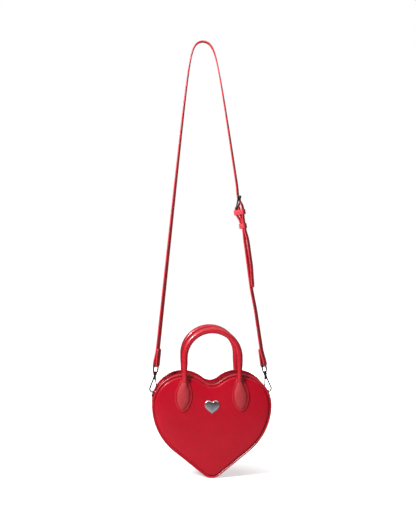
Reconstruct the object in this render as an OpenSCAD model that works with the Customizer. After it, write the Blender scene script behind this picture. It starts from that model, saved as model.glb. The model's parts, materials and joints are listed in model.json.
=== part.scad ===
// Heart shaped purse that hangs from its shoulder strap.
// The origin is the underside of the strap at its highest point. The front faces minus Y.

/* [Heart outline] */
// Width of the heart over its piping
bag_w = 205; // [203:1:220]
// Radius of each lobe
lobe_r = 54.6; // [53:0.2:56]
// Radius of the long curve under each lobe
flank_r = 102; // [98:1:106]
// Angle below level where the long curve starts
flank_start = 2; // [1:0.5:4]
// Angle below level where the long curve ends and the straight side starts
flank_end = 51.3; // [50:0.1:54]
// Radius of the point of the heart
tip_r = 22; // [16:1:26]
// Slope of the cleft's sides as a share of the slope at which the lobes would meet
cleft_share = 0.587; // [0.55:0.001:0.62]
// Radius at the bottom of the cleft
cleft_r = 19.7; // [17:0.1:21]

/* [Panels] */
// Depth of the bag over its two lines of piping
bag_d = 76.4; // [60:0.2:100]
// Diameter of the piping
piping_d = 3.4; // [2.4:0.1:4.4]
// Thickness of the panel leather
skin_t = 1.2; // [0.9:0.1:1.6]
// Width of the flat stitched border of a panel
border_w = 3.2; // [2:0.1:6]
// Height of the padded crown over the border
crown_h = 4.2; // [2:0.1:7]
// Distance over which the crown rises
crown_run = 22; // [16:1:28]
// Thickness of the stiffener board behind each pad
board_t = 1.4; // [0.8:0.1:2]
// Gap between sewn layers
seam_gap = 0.1; // [0.05:0.01:0.15]

/* [Side wall] */
// Depth of the side wall inside the edge of the heart
wall_inset = 4.6; // [4:0.1:5.4]
// Thickness of the side wall leather
wall_t = 1.2; // [0.9:0.1:1.6]
// Thickness of the lining cloth
lining_t = 0.6; // [0.5:0.1:0.9]
// Gap between the lining and the walls
lining_gap = 0.3; // [0.2:0.1:0.5]
// Width of the slip pocket on the back lining
pocket_w = 96; // [70:1:110]
// Height of the slip pocket
pocket_h = 62; // [40:1:66]
// Corner radius of the slip pocket
pocket_r = 10; // [5:1:16]

/* [Zip] */
// Angle on each lobe, up from level, where the zip ends
zip_end = 46; // [42:1:52]
// Width of the gap between the two facings
zip_gap = 12; // [10:0.5:16]
// Width of each tape
tape_w = 14; // [11:0.5:18]
// Thickness of the tape
tape_t = 0.6; // [0.4:0.1:0.8]
// Distance from one tooth to the next on the same tape
tooth_pitch = 3; // [2.8:0.1:3.6]
// Reach of a tooth across the zip
tooth_w = 4; // [3.4:0.1:4.4]
// Height of a tooth over the tape
tooth_h = 1.4; // [1.1:0.1:1.8]
// Length of the slider
slider_l = 9; // [7:0.5:11]
// Width of the slider
slider_w = 8.4; // [7.4:0.2:9.6]
// Thickness of the slider plate
slider_t = 1; // [0.8:0.1:1.4]
// Length of the zip pull
pull_l = 17; // [12:1:22]
// Width of the zip pull
pull_w = 5.4; // [4:0.2:7]

/* [Handles] */
// Diameter of the rolled handles
handle_d = 10.4; // [8:0.2:12]
// Distance between the two legs of a handle
handle_w = 93.6; // [86:0.2:100]
// Height of a handle over the top of the heart
handle_rise = 75; // [66:1:100]
// Depth of the handle's pivot below the top of the heart
neck_drop = 9; // [7.6:0.1:14]
// Diameter of the core inside a handle
core_d = 6; // [4:0.2:7]
// Widest part of a handle tab
tab_w = 28.2; // [22:0.2:32]
// Length of a handle tab from the pivot to its point
tab_l = 54; // [46:1:62]
// Thickness of the tab leather
tab_t = 1.6; // [1.2:0.1:2.2]
// Width of the flat stitched border of a tab
tab_border = 3.6; // [2:0.1:4]
// Outward lean of a handle tab
tab_lean = 4; // [0:0.5:6]
// Height of the tab's padded core over its border at the top
tab_pad = 4.6; // [3:0.1:6]

/* [Emblem] */
// Width of the metal emblem
emblem_w = 25; // [16:1:30]
// Thickness of the emblem
emblem_t = 2.2; // [1.4:0.1:3]
// Height of the emblem's middle over the centres of the lobes
emblem_z = 3; // [-20:1:6]
// Diameter of the emblem's two posts
post_d = 1.6; // [1.2:0.1:2.4]

/* [Ring tabs and rings] */
// Angle down from level where the tab leaves the side wall
ring_tab_angle = 6; // [4:0.5:8]
// Straight length of the tab up to the ring
ring_tab_l = 22.7; // [21:0.1:24]
// Length of the tab sewn to the side wall
ring_tab_grip = 13; // [9:0.5:16]
// Width of the ring tab
ring_tab_w = 12; // [9:0.2:12.2]
// Thickness of one layer of the ring tab
ring_tab_t = 1.2; // [0.9:0.1:1.4]
// Diameter of the ring's wire
ring_wire = 2; // [1.8:0.1:2.2]
// Width inside the ring
ring_w = 13; // [12.8:0.1:14.5]
// Height of the ring from its bar to its top, between wire centres
ring_h = 8; // [7.8:0.1:9]
// Lean of the rings towards the middle
ring_lean = 3; // [1:0.5:5]

/* [Hooks] */
// Diameter of the hook's wire
hook_wire = 2.4; // [2.2:0.1:2.6]
// Radius of the hook's round bottom
hook_r = 6; // [5.6:0.1:6.4]
// Height of the hook's body over its bottom wire
hook_h = 30; // [28:0.5:34]
// Height of the eye's bar over the hook's bottom wire
eye_h = 48; // [46:0.5:54]
// Diameter of the eye's wire
eye_wire = 2.6; // [2.2:0.1:3]
// Diameter of the swivel boss
boss_d = 6.2; // [5.8:0.1:7]
// Height of the swivel boss
boss_h = 4.8; // [4:0.1:5.4]
// Diameter of the swivel pin
swivel_d = 2.4; // [2:0.1:2.8]
// Diameter of the gate
gate_d = 1.9; // [1.6:0.1:2.1]
// Diameter of the gate's pin
gate_pin_d = 1; // [0.8:0.1:1.2]
// Lean of the left hook towards the middle
left_lean = 7; // [4:0.5:9]
// Lean of the right hook towards the middle
right_lean = 10; // [7:0.5:12]

/* [Strap] */
// Drop from the underside of the strap's top to the bottom wire of the hooks
strap_drop = 609; // [560:1:700]
// Distance of the bag's middle to the right of the strap's top
bag_shift = 14; // [8:1:20]
// Width of the strap
strap_w = 12; // [10:0.2:12.2]
// Thickness of the strap
strap_t = 2.4; // [2:0.1:2.8]
// Half width of the strap's crown on the left
crown_left = 22; // [18:1:28]
// Half width of the strap's crown on the right
crown_right = 23.3; // [18:0.1:28]
// Depth over which the strap's crown opens
crown_depth = 15.7; // [12:0.1:20]
// Turn of the strap's face at the hooks
strap_turn = 31; // [20:1:38]
// Length of the strap folded back at each hook
fold_l = 28; // [22:1:36]
// Gap between strap layers
ply_gap = 0.3; // [0.2:0.05:0.5]

/* [Buckle] */
// Depth of the buckle's heel bar below the strap's top
buckle_drop = 289.5; // [260:0.5:320]
// Distance between the buckle's heel bar and front bar
buckle_l = 21.5; // [20:0.5:24]
// Diameter of the buckle's wire
buckle_wire = 2.6; // [2.2:0.1:2.8]
// Diameter of the prong
prong_d = 1.6; // [1.3:0.1:1.8]
// Length of the strap's tail below the heel bar
tail_l = 139; // [110:1:160]
// Distance between the strap's holes
hole_step = 25; // [20:0.5:30]
// Width of a hole
hole_w = 2.6; // [2.2:0.1:3.2]
// Length of a hole
hole_l = 7.4; // [6.6:0.1:8]
// Height of a keeper
keeper_h = 9; // [7:0.5:10]
// Thickness of a keeper
keeper_t = 1.2; // [1:0.1:1.6]

/* [Hidden] */
$fn = 96;
left = -1;
right = 1;
cut = 40;
run_gap = 0.05;
seat_gap = 0.3;

red = [0.72, 0.07, 0.18];
dark_red = [0.5, 0.04, 0.12];
gunmetal = [0.3, 0.29, 0.3];
steel = [0.75, 0.75, 0.77];
cloth = [0.28, 0.2, 0.2];
buff = [0.8, 0.72, 0.6];

// Plain helpers
function dir(a) = [cos(a), sin(a)];
function unit(v) = v / norm(v);
function trimmed(list, share) = let (n = len(list) - 1)
    [for (i = [0 : n]) i < n ? list[i] : between(list[n], list[n - 1], share)];
function back_to_front(list) = [for (i = [len(list) - 1 : -1 : 0]) list[i]];
function rest(list) = [for (i = [1 : len(list) - 1]) list[i]];
function mirrored(list) = [for (p = back_to_front(list)) [-p[0], p[1]]];
function joined(lists) = [for (list = lists) each list];
function ease(t) = t * t * (3 - 2 * t);
function between(a, b, t) = a + (b - a) * t;
function blend(stops, x, i = 0) =
    x <= stops[0][0] ? stops[0][1]
    : i >= len(stops) - 1 ? stops[len(stops) - 1][1]
    : x > stops[i + 1][0] ? blend(stops, x, i + 1)
    : between(stops[i][1], stops[i + 1][1], ease((x - stops[i][0]) / (stops[i + 1][0] - stops[i][0])));

// A closed solid through rings of points that all have the same count
module loft(rings) {
    n = len(rings[0]);
    m = len(rings);
    polyhedron(points = joined(rings), convexity = 8, faces = concat(
        [[for (i = [0 : n - 1]) i]],
        [for (k = [0 : m - 2], i = [0 : n - 1]) [k * n + i, (k + 1) * n + i, k * n + (i + 1) % n]],
        [for (k = [0 : m - 2], i = [0 : n - 1])
            [k * n + (i + 1) % n, (k + 1) * n + i, (k + 1) * n + (i + 1) % n]],
        [[for (i = [n - 1 : -1 : 0]) (m - 1) * n + i]]));
}

// A slab between two depths whose outline is drawn as seen from the front
module slab(y0, y1) {
    translate([0, y1, 0]) rotate([90, 0, 0]) linear_extrude(y1 - y0) children();
}

// A round bar from one point to another
module bar(a, b, d) {
    v = b - a;
    translate(a) rotate([0, acos(v[2] / norm(v)), atan2(v[1], v[0])]) cylinder(d = d, h = norm(v));
}

// Places children in a frame given by an origin and three unit directions
module frame_at(o, ex, ey, ez) {
    multmatrix([[ex[0], ey[0], ez[0], o[0]], [ex[1], ey[1], ez[1], o[1]], [ex[2], ey[2], ez[2], o[2]]])
        children();
}

// Heart outline, with the centres of the lobes at height zero
lobe_x = bag_w / 2 - lobe_r;
cleft_slope = cleft_share * asin(lobe_x / lobe_r);
flank_c = [lobe_x, 0] - (flank_r - lobe_r) * dir(-flank_start);
function flank_foot(inset) = flank_c + (flank_r - inset) * dir(-flank_end);
function tip_corner(inset) = flank_foot(inset)[1] - flank_foot(inset)[0] / tan(flank_end);
function tip_round(inset) = max(tip_r - inset, seat_gap);
function tip_centre(inset) = tip_corner(inset) + tip_round(inset) / sin(flank_end);
function cleft_foot(inset) = [lobe_x, 0] + (lobe_r - inset) * dir(90 + cleft_slope);
function cleft_corner(inset) = cleft_foot(inset)[1] - cleft_foot(inset)[0] * tan(cleft_slope);
function cleft_centre(inset) = cleft_corner(inset) + (cleft_r + inset) / cos(cleft_slope);
function arc(c, r, a, b, n) = [for (i = [0 : n]) c + r * dir(between(a, b, i / n))];

// Right half of the outline: from the cleft to the end of the zip, and from there to the point
function upper_half(inset) = concat(
    arc([0, cleft_centre(inset)], cleft_r + inset, -90, cleft_slope - 90, 4),
    arc([lobe_x, 0], lobe_r - inset, 90 + cleft_slope, zip_end, 10));
function lower_half(inset) = concat(
    arc([lobe_x, 0], lobe_r - inset, zip_end, -flank_start, 6),
    [for (p = arc(flank_c, flank_r - inset, -flank_start, -flank_end, 8)) if (p[1] < -seat_gap * 7) p],
    arc([0, tip_centre(inset)], tip_round(inset), -flank_end, -90, 4));
function half_heart(inset) = concat(upper_half(inset), rest(lower_half(inset)));
function heart_points(inset) = let (h = half_heart(inset))
    concat(h, [for (i = [len(h) - 2 : -1 : 1]) [-h[i][0], h[i][1]]]);
function heart_ring(inset, y) = [for (p = heart_points(inset)) [p[0], y, p[1]]];

module heart_2d(inset) {
    polygon(heart_points(inset));
}

// The outline under the two ends of the zip, and the outline over them, each as one open line
function lower_line(inset) = let (h = lower_half(inset)) concat(h, rest(mirrored(h)));
function upper_line(inset, trim = 0) = let (h = trimmed(upper_half(inset), trim))
    concat(mirrored(h), rest(h));

// A band of leather between a line of the outline and the same line further in
module band_2d(outer, inner) {
    polygon(concat(outer, back_to_front(inner)));
}

// A slice of a disc between two angles, drawn about its centre
module pie(r, a, b) {
    intersection() {
        circle(r);
        polygon([[0, 0], 2 * r * dir(a), 2 * r * dir(b)]);
    }
}

// Bag: places worked out from the sizes
piping_y = bag_d / 2 - piping_d / 2;
seam_y = piping_y - skin_t / 2;
wall_y = seam_y - seam_gap;
panel_inset = piping_d + seam_gap;
board_inset = wall_inset + wall_t + seam_gap;
tape_inset = wall_inset + wall_t + seam_gap;
lining_inset = tape_inset + tape_t + lining_gap;
lining_y = wall_y - board_t - lining_gap;
end_trim = 0.02;
crown_y = seam_y + skin_t + crown_h;
crown_shares = [[0, 0], [0.05, 0.3], [0.14, 0.56], [0.3, 0.79], [0.6, 0.95], [1, 1]];

// Ring: the bar lies in the loop of its tab, and its top hangs over the hook's bottom wire
ring_tab_loop = ring_wire / 2 + 2 * run_gap + ring_tab_t;
ring_tab_mid = flank_r - wall_inset + seam_gap + ring_tab_t;
ring_bar = flank_c + ring_tab_mid * dir(-ring_tab_angle) + ring_tab_l * dir(90 - ring_tab_angle);
ring_seat = ring_wire / 2 + hook_wire / 2 + seat_gap;
hook_foot = ring_bar + (ring_h - ring_seat) * dir(90 + ring_lean);
lobe_z = -strap_drop - hook_foot[1];

module on_bag() {
    translate([bag_shift, 0, lobe_z]) children();
}

module facing(side) {
    mirror([0, side < 0 ? 0 : 1, 0]) children();
}

front = -1;
back = 1;

module panel(side) {
    base = panel_inset + border_w;
    inner = base + skin_t / 2;
    outside = concat(
        [heart_ring(panel_inset, -seam_y), heart_ring(panel_inset, -seam_y - skin_t)],
        [for (s = crown_shares) heart_ring(base + crown_run * s[0], -seam_y - skin_t - crown_h * s[1])]);
    inside = [for (s = crown_shares) heart_ring(inner + crown_run * s[0], -seam_y - crown_h * s[1])];
    facing(side) on_bag() difference() {
        loft(concat(back_to_front(outside), inside));
        if (side == front) post_holes(-crown_y - cut, 0);
    }
}

module pad(side) {
    base = panel_inset + border_w + skin_t / 2 + seam_gap;
    facing(side) on_bag() difference() {
        loft(back_to_front(concat(
            [heart_ring(base, -seam_y - seam_gap / 2)],
            [for (s = crown_shares) if (s[0] > 0)
                heart_ring(base + crown_run * s[0], -seam_y - crown_h * s[1] + seam_gap)])));
        if (side == front) post_holes(-crown_y - cut, 0);
    }
}

module board(side) {
    facing(side) on_bag() difference() {
        slab(-wall_y, -wall_y + board_t) heart_2d(board_inset);
        if (side == front) post_holes(-crown_y - cut, 0);
    }
}

module piping(side) {
    sides = 8;
    facing(side) on_bag() {
        rings = [for (a = [0 : sides]) heart_ring(piping_d / 2 * (1 + cos(a * 360 / sides)),
            -piping_y + piping_d / 2 * sin(a * 360 / sides))];
        n = len(rings[0]);
        polyhedron(points = joined([for (k = [0 : sides - 1]) rings[k]]), convexity = 8, faces = [
            for (k = [0 : sides - 1], i = [0 : n - 1], half = [0, 1])
                half == 0
                    ? [k * n + i, k * n + (i + 1) % n, (k + 1) % sides * n + i]
                    : [k * n + (i + 1) % n, (k + 1) % sides * n + (i + 1) % n, (k + 1) % sides * n + i]]);
    }
}

module side_wall() {
    color(red) on_bag() slab(-wall_y, wall_y)
        band_2d(lower_line(wall_inset), lower_line(wall_inset + wall_t));
}

module zip_facing(side) {
    color(red) facing(side) on_bag() slab(-wall_y, -zip_gap / 2)
        band_2d(upper_line(wall_inset, end_trim), upper_line(wall_inset + wall_t, end_trim));
}

module zip_tapes() {
    color(dark_red) on_bag() for (side = [front, back]) facing(side) slab(-tape_w, -tape_t)
        band_2d(upper_line(tape_inset), upper_line(tape_inset + tape_t));
}

// Path of the zip at an inset: the left lobe, the cleft and the right lobe, measured along its length
function zip_arc(inset) = (lobe_r - inset) * (90 + cleft_slope - zip_end) * PI / 180;
function zip_line(inset) = norm(cleft_foot(inset) - [0, cleft_centre(inset)]
    - (cleft_r + inset) * dir(cleft_slope - 90));
function zip_dip(inset) = (cleft_r + inset) * cleft_slope * PI / 180;
function zip_half(inset) = zip_arc(inset) + zip_line(inset) + zip_dip(inset);
function zip_right(inset, s) =
    s < zip_dip(inset) ? let (a = s / (cleft_r + inset) * 180 / PI)
        [[0, cleft_centre(inset)] + (cleft_r + inset) * dir(a - 90), a]
    : s < zip_dip(inset) + zip_line(inset)
        ? [[0, cleft_centre(inset)] + (cleft_r + inset) * dir(cleft_slope - 90)
            + (s - zip_dip(inset)) * dir(cleft_slope), cleft_slope]
    : let (a = 90 + cleft_slope - (s - zip_dip(inset) - zip_line(inset)) / (lobe_r - inset) * 180 / PI)
        [[lobe_x, 0] + (lobe_r - inset) * dir(a), a - 90];
function zip_at(inset, s) = s >= 0 ? zip_right(inset, s)
    : let (p = zip_right(inset, -s)) [[-p[0][0], p[0][1]], -p[1]];

tooth_inset = tape_inset - seam_gap - tooth_h / 2;
tooth_l = tooth_pitch / 2 - seam_gap * 3;
teeth_end = zip_half(tooth_inset) - tooth_pitch * 1.5;

module zip_block(s, l, y0, y1, h) {
    p = zip_at(tooth_inset, s);
    translate([p[0][0], 0, p[0][1]]) rotate([0, -p[1], 0]) translate([-l / 2, y0, -h / 2])
        cube([l, y1 - y0, h]);
}

module zip_teeth() {
    n = floor(teeth_end / tooth_pitch);
    color(steel) on_bag() for (k = [-n : n]) {
        zip_block(k * tooth_pitch, tooth_l, -tooth_w + tooth_w / 4, tooth_w / 4, tooth_h);
        zip_block((k + 0.5) * tooth_pitch, tooth_l, -tooth_w / 4, tooth_w - tooth_w / 4, tooth_h);
    }
}

module zip_stops() {
    color(steel) on_bag() for (end = [left, right]) {
        zip_block(end * (zip_half(tooth_inset) - tooth_pitch / 3), tooth_pitch / 2, -tooth_w, tooth_w, tooth_h);
    }
}

// Slider: it rides over the teeth on the left lobe, and turns about the centre of that lobe
slider_r = lobe_r - tooth_inset + tooth_h / 2 + seat_gap;
slider_a = 180 - zip_end - (slider_l / 2 + tooth_pitch * 1.6) / slider_r * 180 / PI;
pull_eye = slider_t;
pull_pin = [slider_r + slider_t + pull_eye + seam_gap * 2, slider_l / 4];
pull_lie = -11;

module at_slider() {
    on_bag() translate([-lobe_x, 0, 0]) rotate([0, -slider_a, 0]) children();
}

module zip_slider() {
    wall = slider_t * 0.8;
    color(gunmetal) at_slider() {
        difference() {
            translate([0, -slider_w / 2, -slider_l / 2])
                cube([slider_r + slider_t, slider_w, slider_l]);
            translate([0, cut, 0]) rotate([90, 0, 0]) cylinder(r = slider_r, h = 2 * cut);
        }
        for (side = [left, right]) translate([slider_r - tooth_h, 0, 0]) {
            translate([0, side * (slider_w / 2 - wall / 2) - wall / 2, -slider_l / 2])
                cube([tooth_h + slider_t, wall, slider_l]);
        }
        for (side = [left, right]) difference() {
            translate([slider_r, side * pull_w / 4 - wall / 2, pull_pin[1] - pull_eye * 1.6])
                cube([pull_pin[0] - slider_r + pull_eye, wall, pull_eye * 3.2]);
            translate([pull_pin[0], cut, pull_pin[1]]) rotate([90, 0, 0])
                cylinder(d = pull_eye + 2 * run_gap, h = 2 * cut);
        }
    }
}

// The pull is a metal tongue on a pin, with a leather tag that lies along the lobe
module zip_pull() {
    tongue_w = pull_w / 2 - slider_t;
    tongue_l = pull_eye * 3;
    color(red) at_slider() translate([pull_pin[0], 0, pull_pin[1]]) rotate([0, pull_lie, 0]) {
        rotate([90, 0, 0]) translate([0, 0, -pull_w / 2]) cylinder(d = pull_eye, h = pull_w);
        translate([-pull_eye * 0.4, -tongue_w / 2, 0]) cube([pull_eye * 0.8, tongue_w, tongue_l]);
        rotate([90, 0, 90]) translate([0, 0, -pull_eye * 0.7]) linear_extrude(pull_eye * 1.4) {
            translate([-pull_w / 2, tongue_l - pull_eye])
                square([pull_w, pull_l - tongue_l + pull_eye - pull_w / 2]);
            translate([0, pull_l - pull_w / 2]) circle(pull_w / 2);
        }
    }
}

// Handles
top_z = lobe_r;
handle_r = handle_w / 2;
handle_y = crown_y + seat_gap + handle_d / 2;
neck_z = top_z - neck_drop;
arch_z = top_z + handle_rise - handle_r;

module handle_path(d) {
    translate([0, -handle_y, arch_z]) rotate([90, 0, 0]) rotate_extrude(angle = 180)
        translate([handle_r, 0]) circle(d = d);
    for (side = [left, right]) translate([side * handle_r, -handle_y, neck_z])
        cylinder(d = d, h = arch_z - neck_z);
}

module handle_bore() {
    handle_path(core_d + 2 * seam_gap);
}

module handle(side) {
    color(red) facing(side) on_bag() difference() {
        union() {
            handle_path(handle_d);
            for (end = [left, right]) translate([end * handle_r, -handle_y, neck_z]) sphere(d = handle_d);
        }
        handle_bore();
    }
}

module handle_core(side) {
    color(buff) facing(side) on_bag() handle_path(core_d);
}

// A handle tab: a leaf of leather with a padded rib that carries on down from the handle
leaf_shares = [[0.02, 0.42], [0.1, 0.62], [0.2, 0.79], [0.3, 0.9], [0.42, 0.98], [0.55, 1], [0.68, 0.94],
    [0.8, 0.74], [0.9, 0.5], [0.97, 0.24]];
rib_shares = [[0, 1], [0.3, 0.8], [0.6, 0.55], [1, 0.2]];

function leaf_half(z) = tab_w / 2 * blend(leaf_shares, z / tab_l);
function rib_row(z, y0, h) = let (w = max(leaf_half(z) - tab_border, tab_border / 3)) [
    for (a = [0 : 8]) [w * cos(a * 22.5), y0 - h * sin(a * 22.5), -z]];

module leaf_2d() {
    polygon(concat(
        [for (s = leaf_shares) [tab_w / 2 * s[1], -tab_l * s[0]]],
        [[0, -tab_l]],
        [for (s = back_to_front(leaf_shares)) [-tab_w / 2 * s[1], -tab_l * s[0]]]));
}

module handle_tab(side, end) {
    top = handle_d / 2 + seat_gap;
    color(red) facing(side) on_bag() translate([end * handle_r, -crown_y - seat_gap, neck_z])
    rotate([0, -end * tab_lean, 0]) {
        difference() {
            slab(-tab_t, 0) leaf_2d();
            rotate([90, 0, 0]) translate([0, 0, -cut]) cylinder(r = top, h = 2 * cut);
        }
        loft([for (k = [0 : 10]) let (z = between(top, tab_l * 0.94, k / 10))
            rib_row(z, -tab_t / 2, tab_t / 2 + tab_pad * blend(rib_shares, k / 10))]);
    }
}

// Emblem: a plain bevelled heart with two posts through the front panel
emblem_k = emblem_w / bag_w;
post_x = emblem_w * 0.2;

function emblem_ring(inset, y) = [for (p = heart_points(inset))
    [p[0] * emblem_k, y, p[1] * emblem_k + emblem_z]];

module post_holes(y0, y1) {
    for (side = [left, right]) translate([side * post_x, y1, emblem_z]) rotate([90, 0, 0])
        cylinder(d = post_d + 2 * seam_gap, h = y1 - y0);
}

module emblem() {
    bevel = lobe_r * 0.22;
    face_y = -crown_y - seam_gap;
    color(steel) on_bag() {
        loft([emblem_ring(bevel, face_y - emblem_t), emblem_ring(0, face_y - emblem_t * 0.4),
            emblem_ring(0, face_y)]);
        for (side = [left, right]) translate([side * post_x, -wall_y + board_t + seam_gap * 2, emblem_z])
            rotate([90, 0, 0]) cylinder(d = post_d, h = crown_y - wall_y + board_t + emblem_t * 0.5);
    }
}

module emblem_washers() {
    y0 = -wall_y + board_t + seam_gap / 2;
    color(steel) on_bag() for (side = [left, right])
        translate([side * post_x, y0, emblem_z]) rotate([-90, 0, 0]) difference() {
            cylinder(d = post_d * 3, h = lining_gap - seam_gap * 1.5);
            translate([0, 0, -cut]) cylinder(d = post_d + 2 * run_gap, h = 2 * cut);
        }
}

// Lining: a cloth bag inside the walls, open along the zip
module lining() {
    color(cloth) on_bag() difference() {
        slab(-lining_y, lining_y) heart_2d(lining_inset);
        slab(-lining_y + lining_t, lining_y - lining_t) heart_2d(lining_inset + lining_t);
        slab(-zip_gap / 3, zip_gap / 3)
            band_2d(upper_line(lining_inset - lining_t, end_trim),
                upper_line(lining_inset + 2 * lining_t, end_trim));
    }
}

module slip_pocket() {
    y1 = lining_y - lining_t - seam_gap;
    z1 = cleft_corner(lining_inset) - pocket_r;
    color(cloth) on_bag() slab(y1 - lining_t, y1) {
        translate([-pocket_w / 2, z1 - pocket_h + pocket_r]) square([pocket_w, pocket_h - pocket_r]);
        translate([-pocket_w / 2 + pocket_r, z1 - pocket_h]) square([pocket_w - 2 * pocket_r, pocket_r]);
        for (side = [left, right]) translate([side * (pocket_w / 2 - pocket_r), z1 - pocket_h + pocket_r])
            circle(pocket_r);
    }
}

// Ring tabs and rings, drawn on the right lobe and mirrored for the left
module on_side(side) {
    on_bag() mirror([side < 0 ? 1 : 0, 0, 0]) children();
}

module ring_tab(side) {
    t = 2 * ring_tab_t;
    r0 = ring_tab_mid - ring_tab_t;
    color(red) on_side(side) translate([flank_c[0], 0, flank_c[1]]) rotate([0, ring_tab_angle, 0])
    difference() {
        union() {
            slab(-ring_tab_w / 2, ring_tab_w / 2) {
                translate([r0, 0]) square([t, ring_tab_l]);
                difference() {
                    pie(r0 + t, -ring_tab_grip / r0 * 180 / PI, 0);
                    circle(r0);
                }
            }
            translate([r0 + t / 2, ring_tab_w / 2, ring_tab_l]) rotate([90, 0, 0])
                cylinder(r = ring_tab_loop, h = ring_tab_w);
        }
        translate([r0 + t / 2, cut, ring_tab_l]) rotate([90, 0, 0])
            cylinder(d = ring_wire + 4 * run_gap, h = 2 * cut);
    }
}

module ring(side) {
    r = (ring_w + ring_wire) / 2;
    straight = ring_h - r;
    color(gunmetal) on_side(side) translate([ring_bar[0], 0, ring_bar[1]]) rotate([0, -ring_lean, 0]) {
        bar([0, -r, 0], [0, r, 0], ring_wire);
        for (end = [left, right]) {
            translate([0, end * r, 0]) sphere(d = ring_wire);
            translate([0, end * r, 0]) cylinder(d = ring_wire, h = straight);
        }
        translate([0, 0, straight]) rotate([90, 0, 90]) rotate_extrude(angle = 180)
            translate([r, 0]) circle(d = ring_wire);
    }
}

// Hooks: each has its own frame, with X outwards and Z up along the swivel
function hook_lean(side) = side < 0 ? left_lean : right_lean;
function hook_place(side) = [bag_shift + side * hook_foot[0], 0, -strap_drop];
function eye_place(side) = hook_place(side) + eye_h * [-side * sin(hook_lean(side)), 0, cos(hook_lean(side))];

module at_hook(side) {
    translate(hook_place(side)) mirror([side < 0 ? 1 : 0, 0, 0]) rotate([0, -hook_lean(side), 0]) children();
}

leg_a = asin(hook_r / (hook_h - hook_r));
leg_foot = [hook_r * cos(leg_a), hook_r + hook_r * sin(leg_a)];
head_z = hook_h - hook_wire * 3.2;
pin_z = hook_h - hook_wire * 2.2;
pin_x = -(hook_h - pin_z) * tan(leg_a);
gate_foot = leg_foot[1] + seat_gap;
head_w = hook_wire * 2.7;
head_t = hook_wire * 1.7;
head_share = 0.2;
bead_share = 1.1;
slot_t = gate_d;
boss_z = hook_h + seam_gap * 2;

module hook_body(side) {
    color(gunmetal) at_hook(side) {
        bar([leg_foot[0], 0, leg_foot[1]],
            [leg_foot[0] * head_share, 0, between(hook_h, leg_foot[1], head_share)], hook_wire);
        translate([leg_foot[0], 0, leg_foot[1]]) sphere(d = hook_wire * bead_share);
        translate([0, 0, hook_r]) rotate([90, 0, 0]) rotate_extrude(angle = 180 + 2 * leg_a, start = 180 - leg_a)
            translate([hook_r, 0]) circle(d = hook_wire);
        difference() {
            slab(-head_t / 2, head_t / 2) polygon([[-head_w / 2, head_z], [head_w / 2, head_z],
                [hook_wire * 0.8, hook_h], [-hook_wire * 0.8, hook_h]]);
            translate([-head_w, -slot_t / 2, head_z - cut])
                cube([head_w + hook_wire * 0.3, slot_t, cut + pin_z - head_z + gate_d]);
            translate([pin_x, cut, pin_z]) rotate([90, 0, 0]) cylinder(d = gate_pin_d + 2 * run_gap, h = 2 * cut);
        }
        translate([0, 0, hook_h - hook_wire / 2]) cylinder(d = swivel_d, h = boss_h + hook_wire);
        translate([0, 0, boss_z + boss_h + seam_gap]) cylinder(d = swivel_d * 1.7, h = swivel_d / 2);
    }
}

module hook_gate(side) {
    foot = [-(hook_h - gate_foot) * tan(leg_a), 0, gate_foot];
    color(gunmetal) at_hook(side) difference() {
        union() {
            bar([pin_x, 0, pin_z] + (foot - [pin_x, 0, pin_z]) * 0.16, foot, gate_d);
            slab(-gate_d / 2 + seam_gap, gate_d / 2 - seam_gap) {
                translate([pin_x, pin_z]) circle(gate_pin_d);
                translate([pin_x, pin_z]) rotate(-90 - leg_a) translate([0, -gate_d / 2])
                    square([gate_d * 2.4, gate_d]);
            }
        }
        translate([pin_x, cut, pin_z]) rotate([90, 0, 0]) cylinder(d = gate_pin_d + 2 * run_gap, h = 2 * cut);
    }
}

module gate_pin(side) {
    color(steel) at_hook(side) translate([pin_x, head_t / 2, pin_z]) rotate([90, 0, 0])
        cylinder(d = gate_pin_d, h = head_t);
}

eye_r = strap_w / 2 + seat_gap + eye_wire / 2;

module hook_eye(side) {
    low_z = boss_z + boss_h / 2;
    color(gunmetal) at_hook(side) rotate([0, 0, -side * strap_turn]) difference() {
        union() {
            bar([0, -eye_r, eye_h], [0, eye_r, eye_h], eye_wire);
            for (end = [left, right]) {
                translate([0, end * eye_r, eye_h]) sphere(d = eye_wire);
                bar([0, end * eye_r, low_z + eye_r], [0, end * eye_r, eye_h], eye_wire);
            }
            translate([0, 0, low_z + eye_r]) rotate([90, 0, 90]) rotate_extrude(angle = 180, start = 180)
                translate([eye_r, 0]) circle(d = eye_wire);
            translate([0, 0, boss_z]) cylinder(d = boss_d, h = boss_h);
        }
        translate([0, 0, boss_z - cut]) cylinder(d = swivel_d + 2 * run_gap, h = 2 * cut);
        translate([0, 0, boss_z + boss_h]) cylinder(d = swivel_d * 1.7 + 2 * seam_gap, h = eye_wire * 1.5);
    }
}

// Strap route: u runs from the left hook over the top to the right hook, and depth is crown_depth times u squared
function crown_half(u) = u < 0 ? crown_left : crown_right;
function depth_u(depth) = sqrt(depth / crown_depth);
function end_depth(side) = -eye_place(side)[2] + strap_t / 2;
function strand_lean(side) = let (d = end_depth(side))
    (side * eye_place(side)[0] - crown_half(side) * sqrt(d / (d + crown_depth))) / d;
function route(u) = let (s = u < 0 ? left : right)
    [crown_half(u) * u / sqrt(1 + u * u) + s * strand_lean(s) * crown_depth * u * u, 0,
        strap_t / 2 - crown_depth * u * u];
function route_t(u) = let (s = u < 0 ? left : right)
    unit([crown_half(u) / pow(1 + u * u, 1.5) + s * 2 * strand_lean(s) * crown_depth * abs(u) * s, 0,
        -2 * crown_depth * u]);
function route_n(u) = let (t = route_t(u)) [-t[2], 0, t[0]];
function strap_angle(u) = let (s = u < 0 ? left : right)
    s * strap_turn * pow(abs(u) / depth_u(end_depth(s)), 1.4);
function face_n(u) = route_n(u) * cos(strap_angle(u)) - [0, sin(strap_angle(u)), 0];
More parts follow.
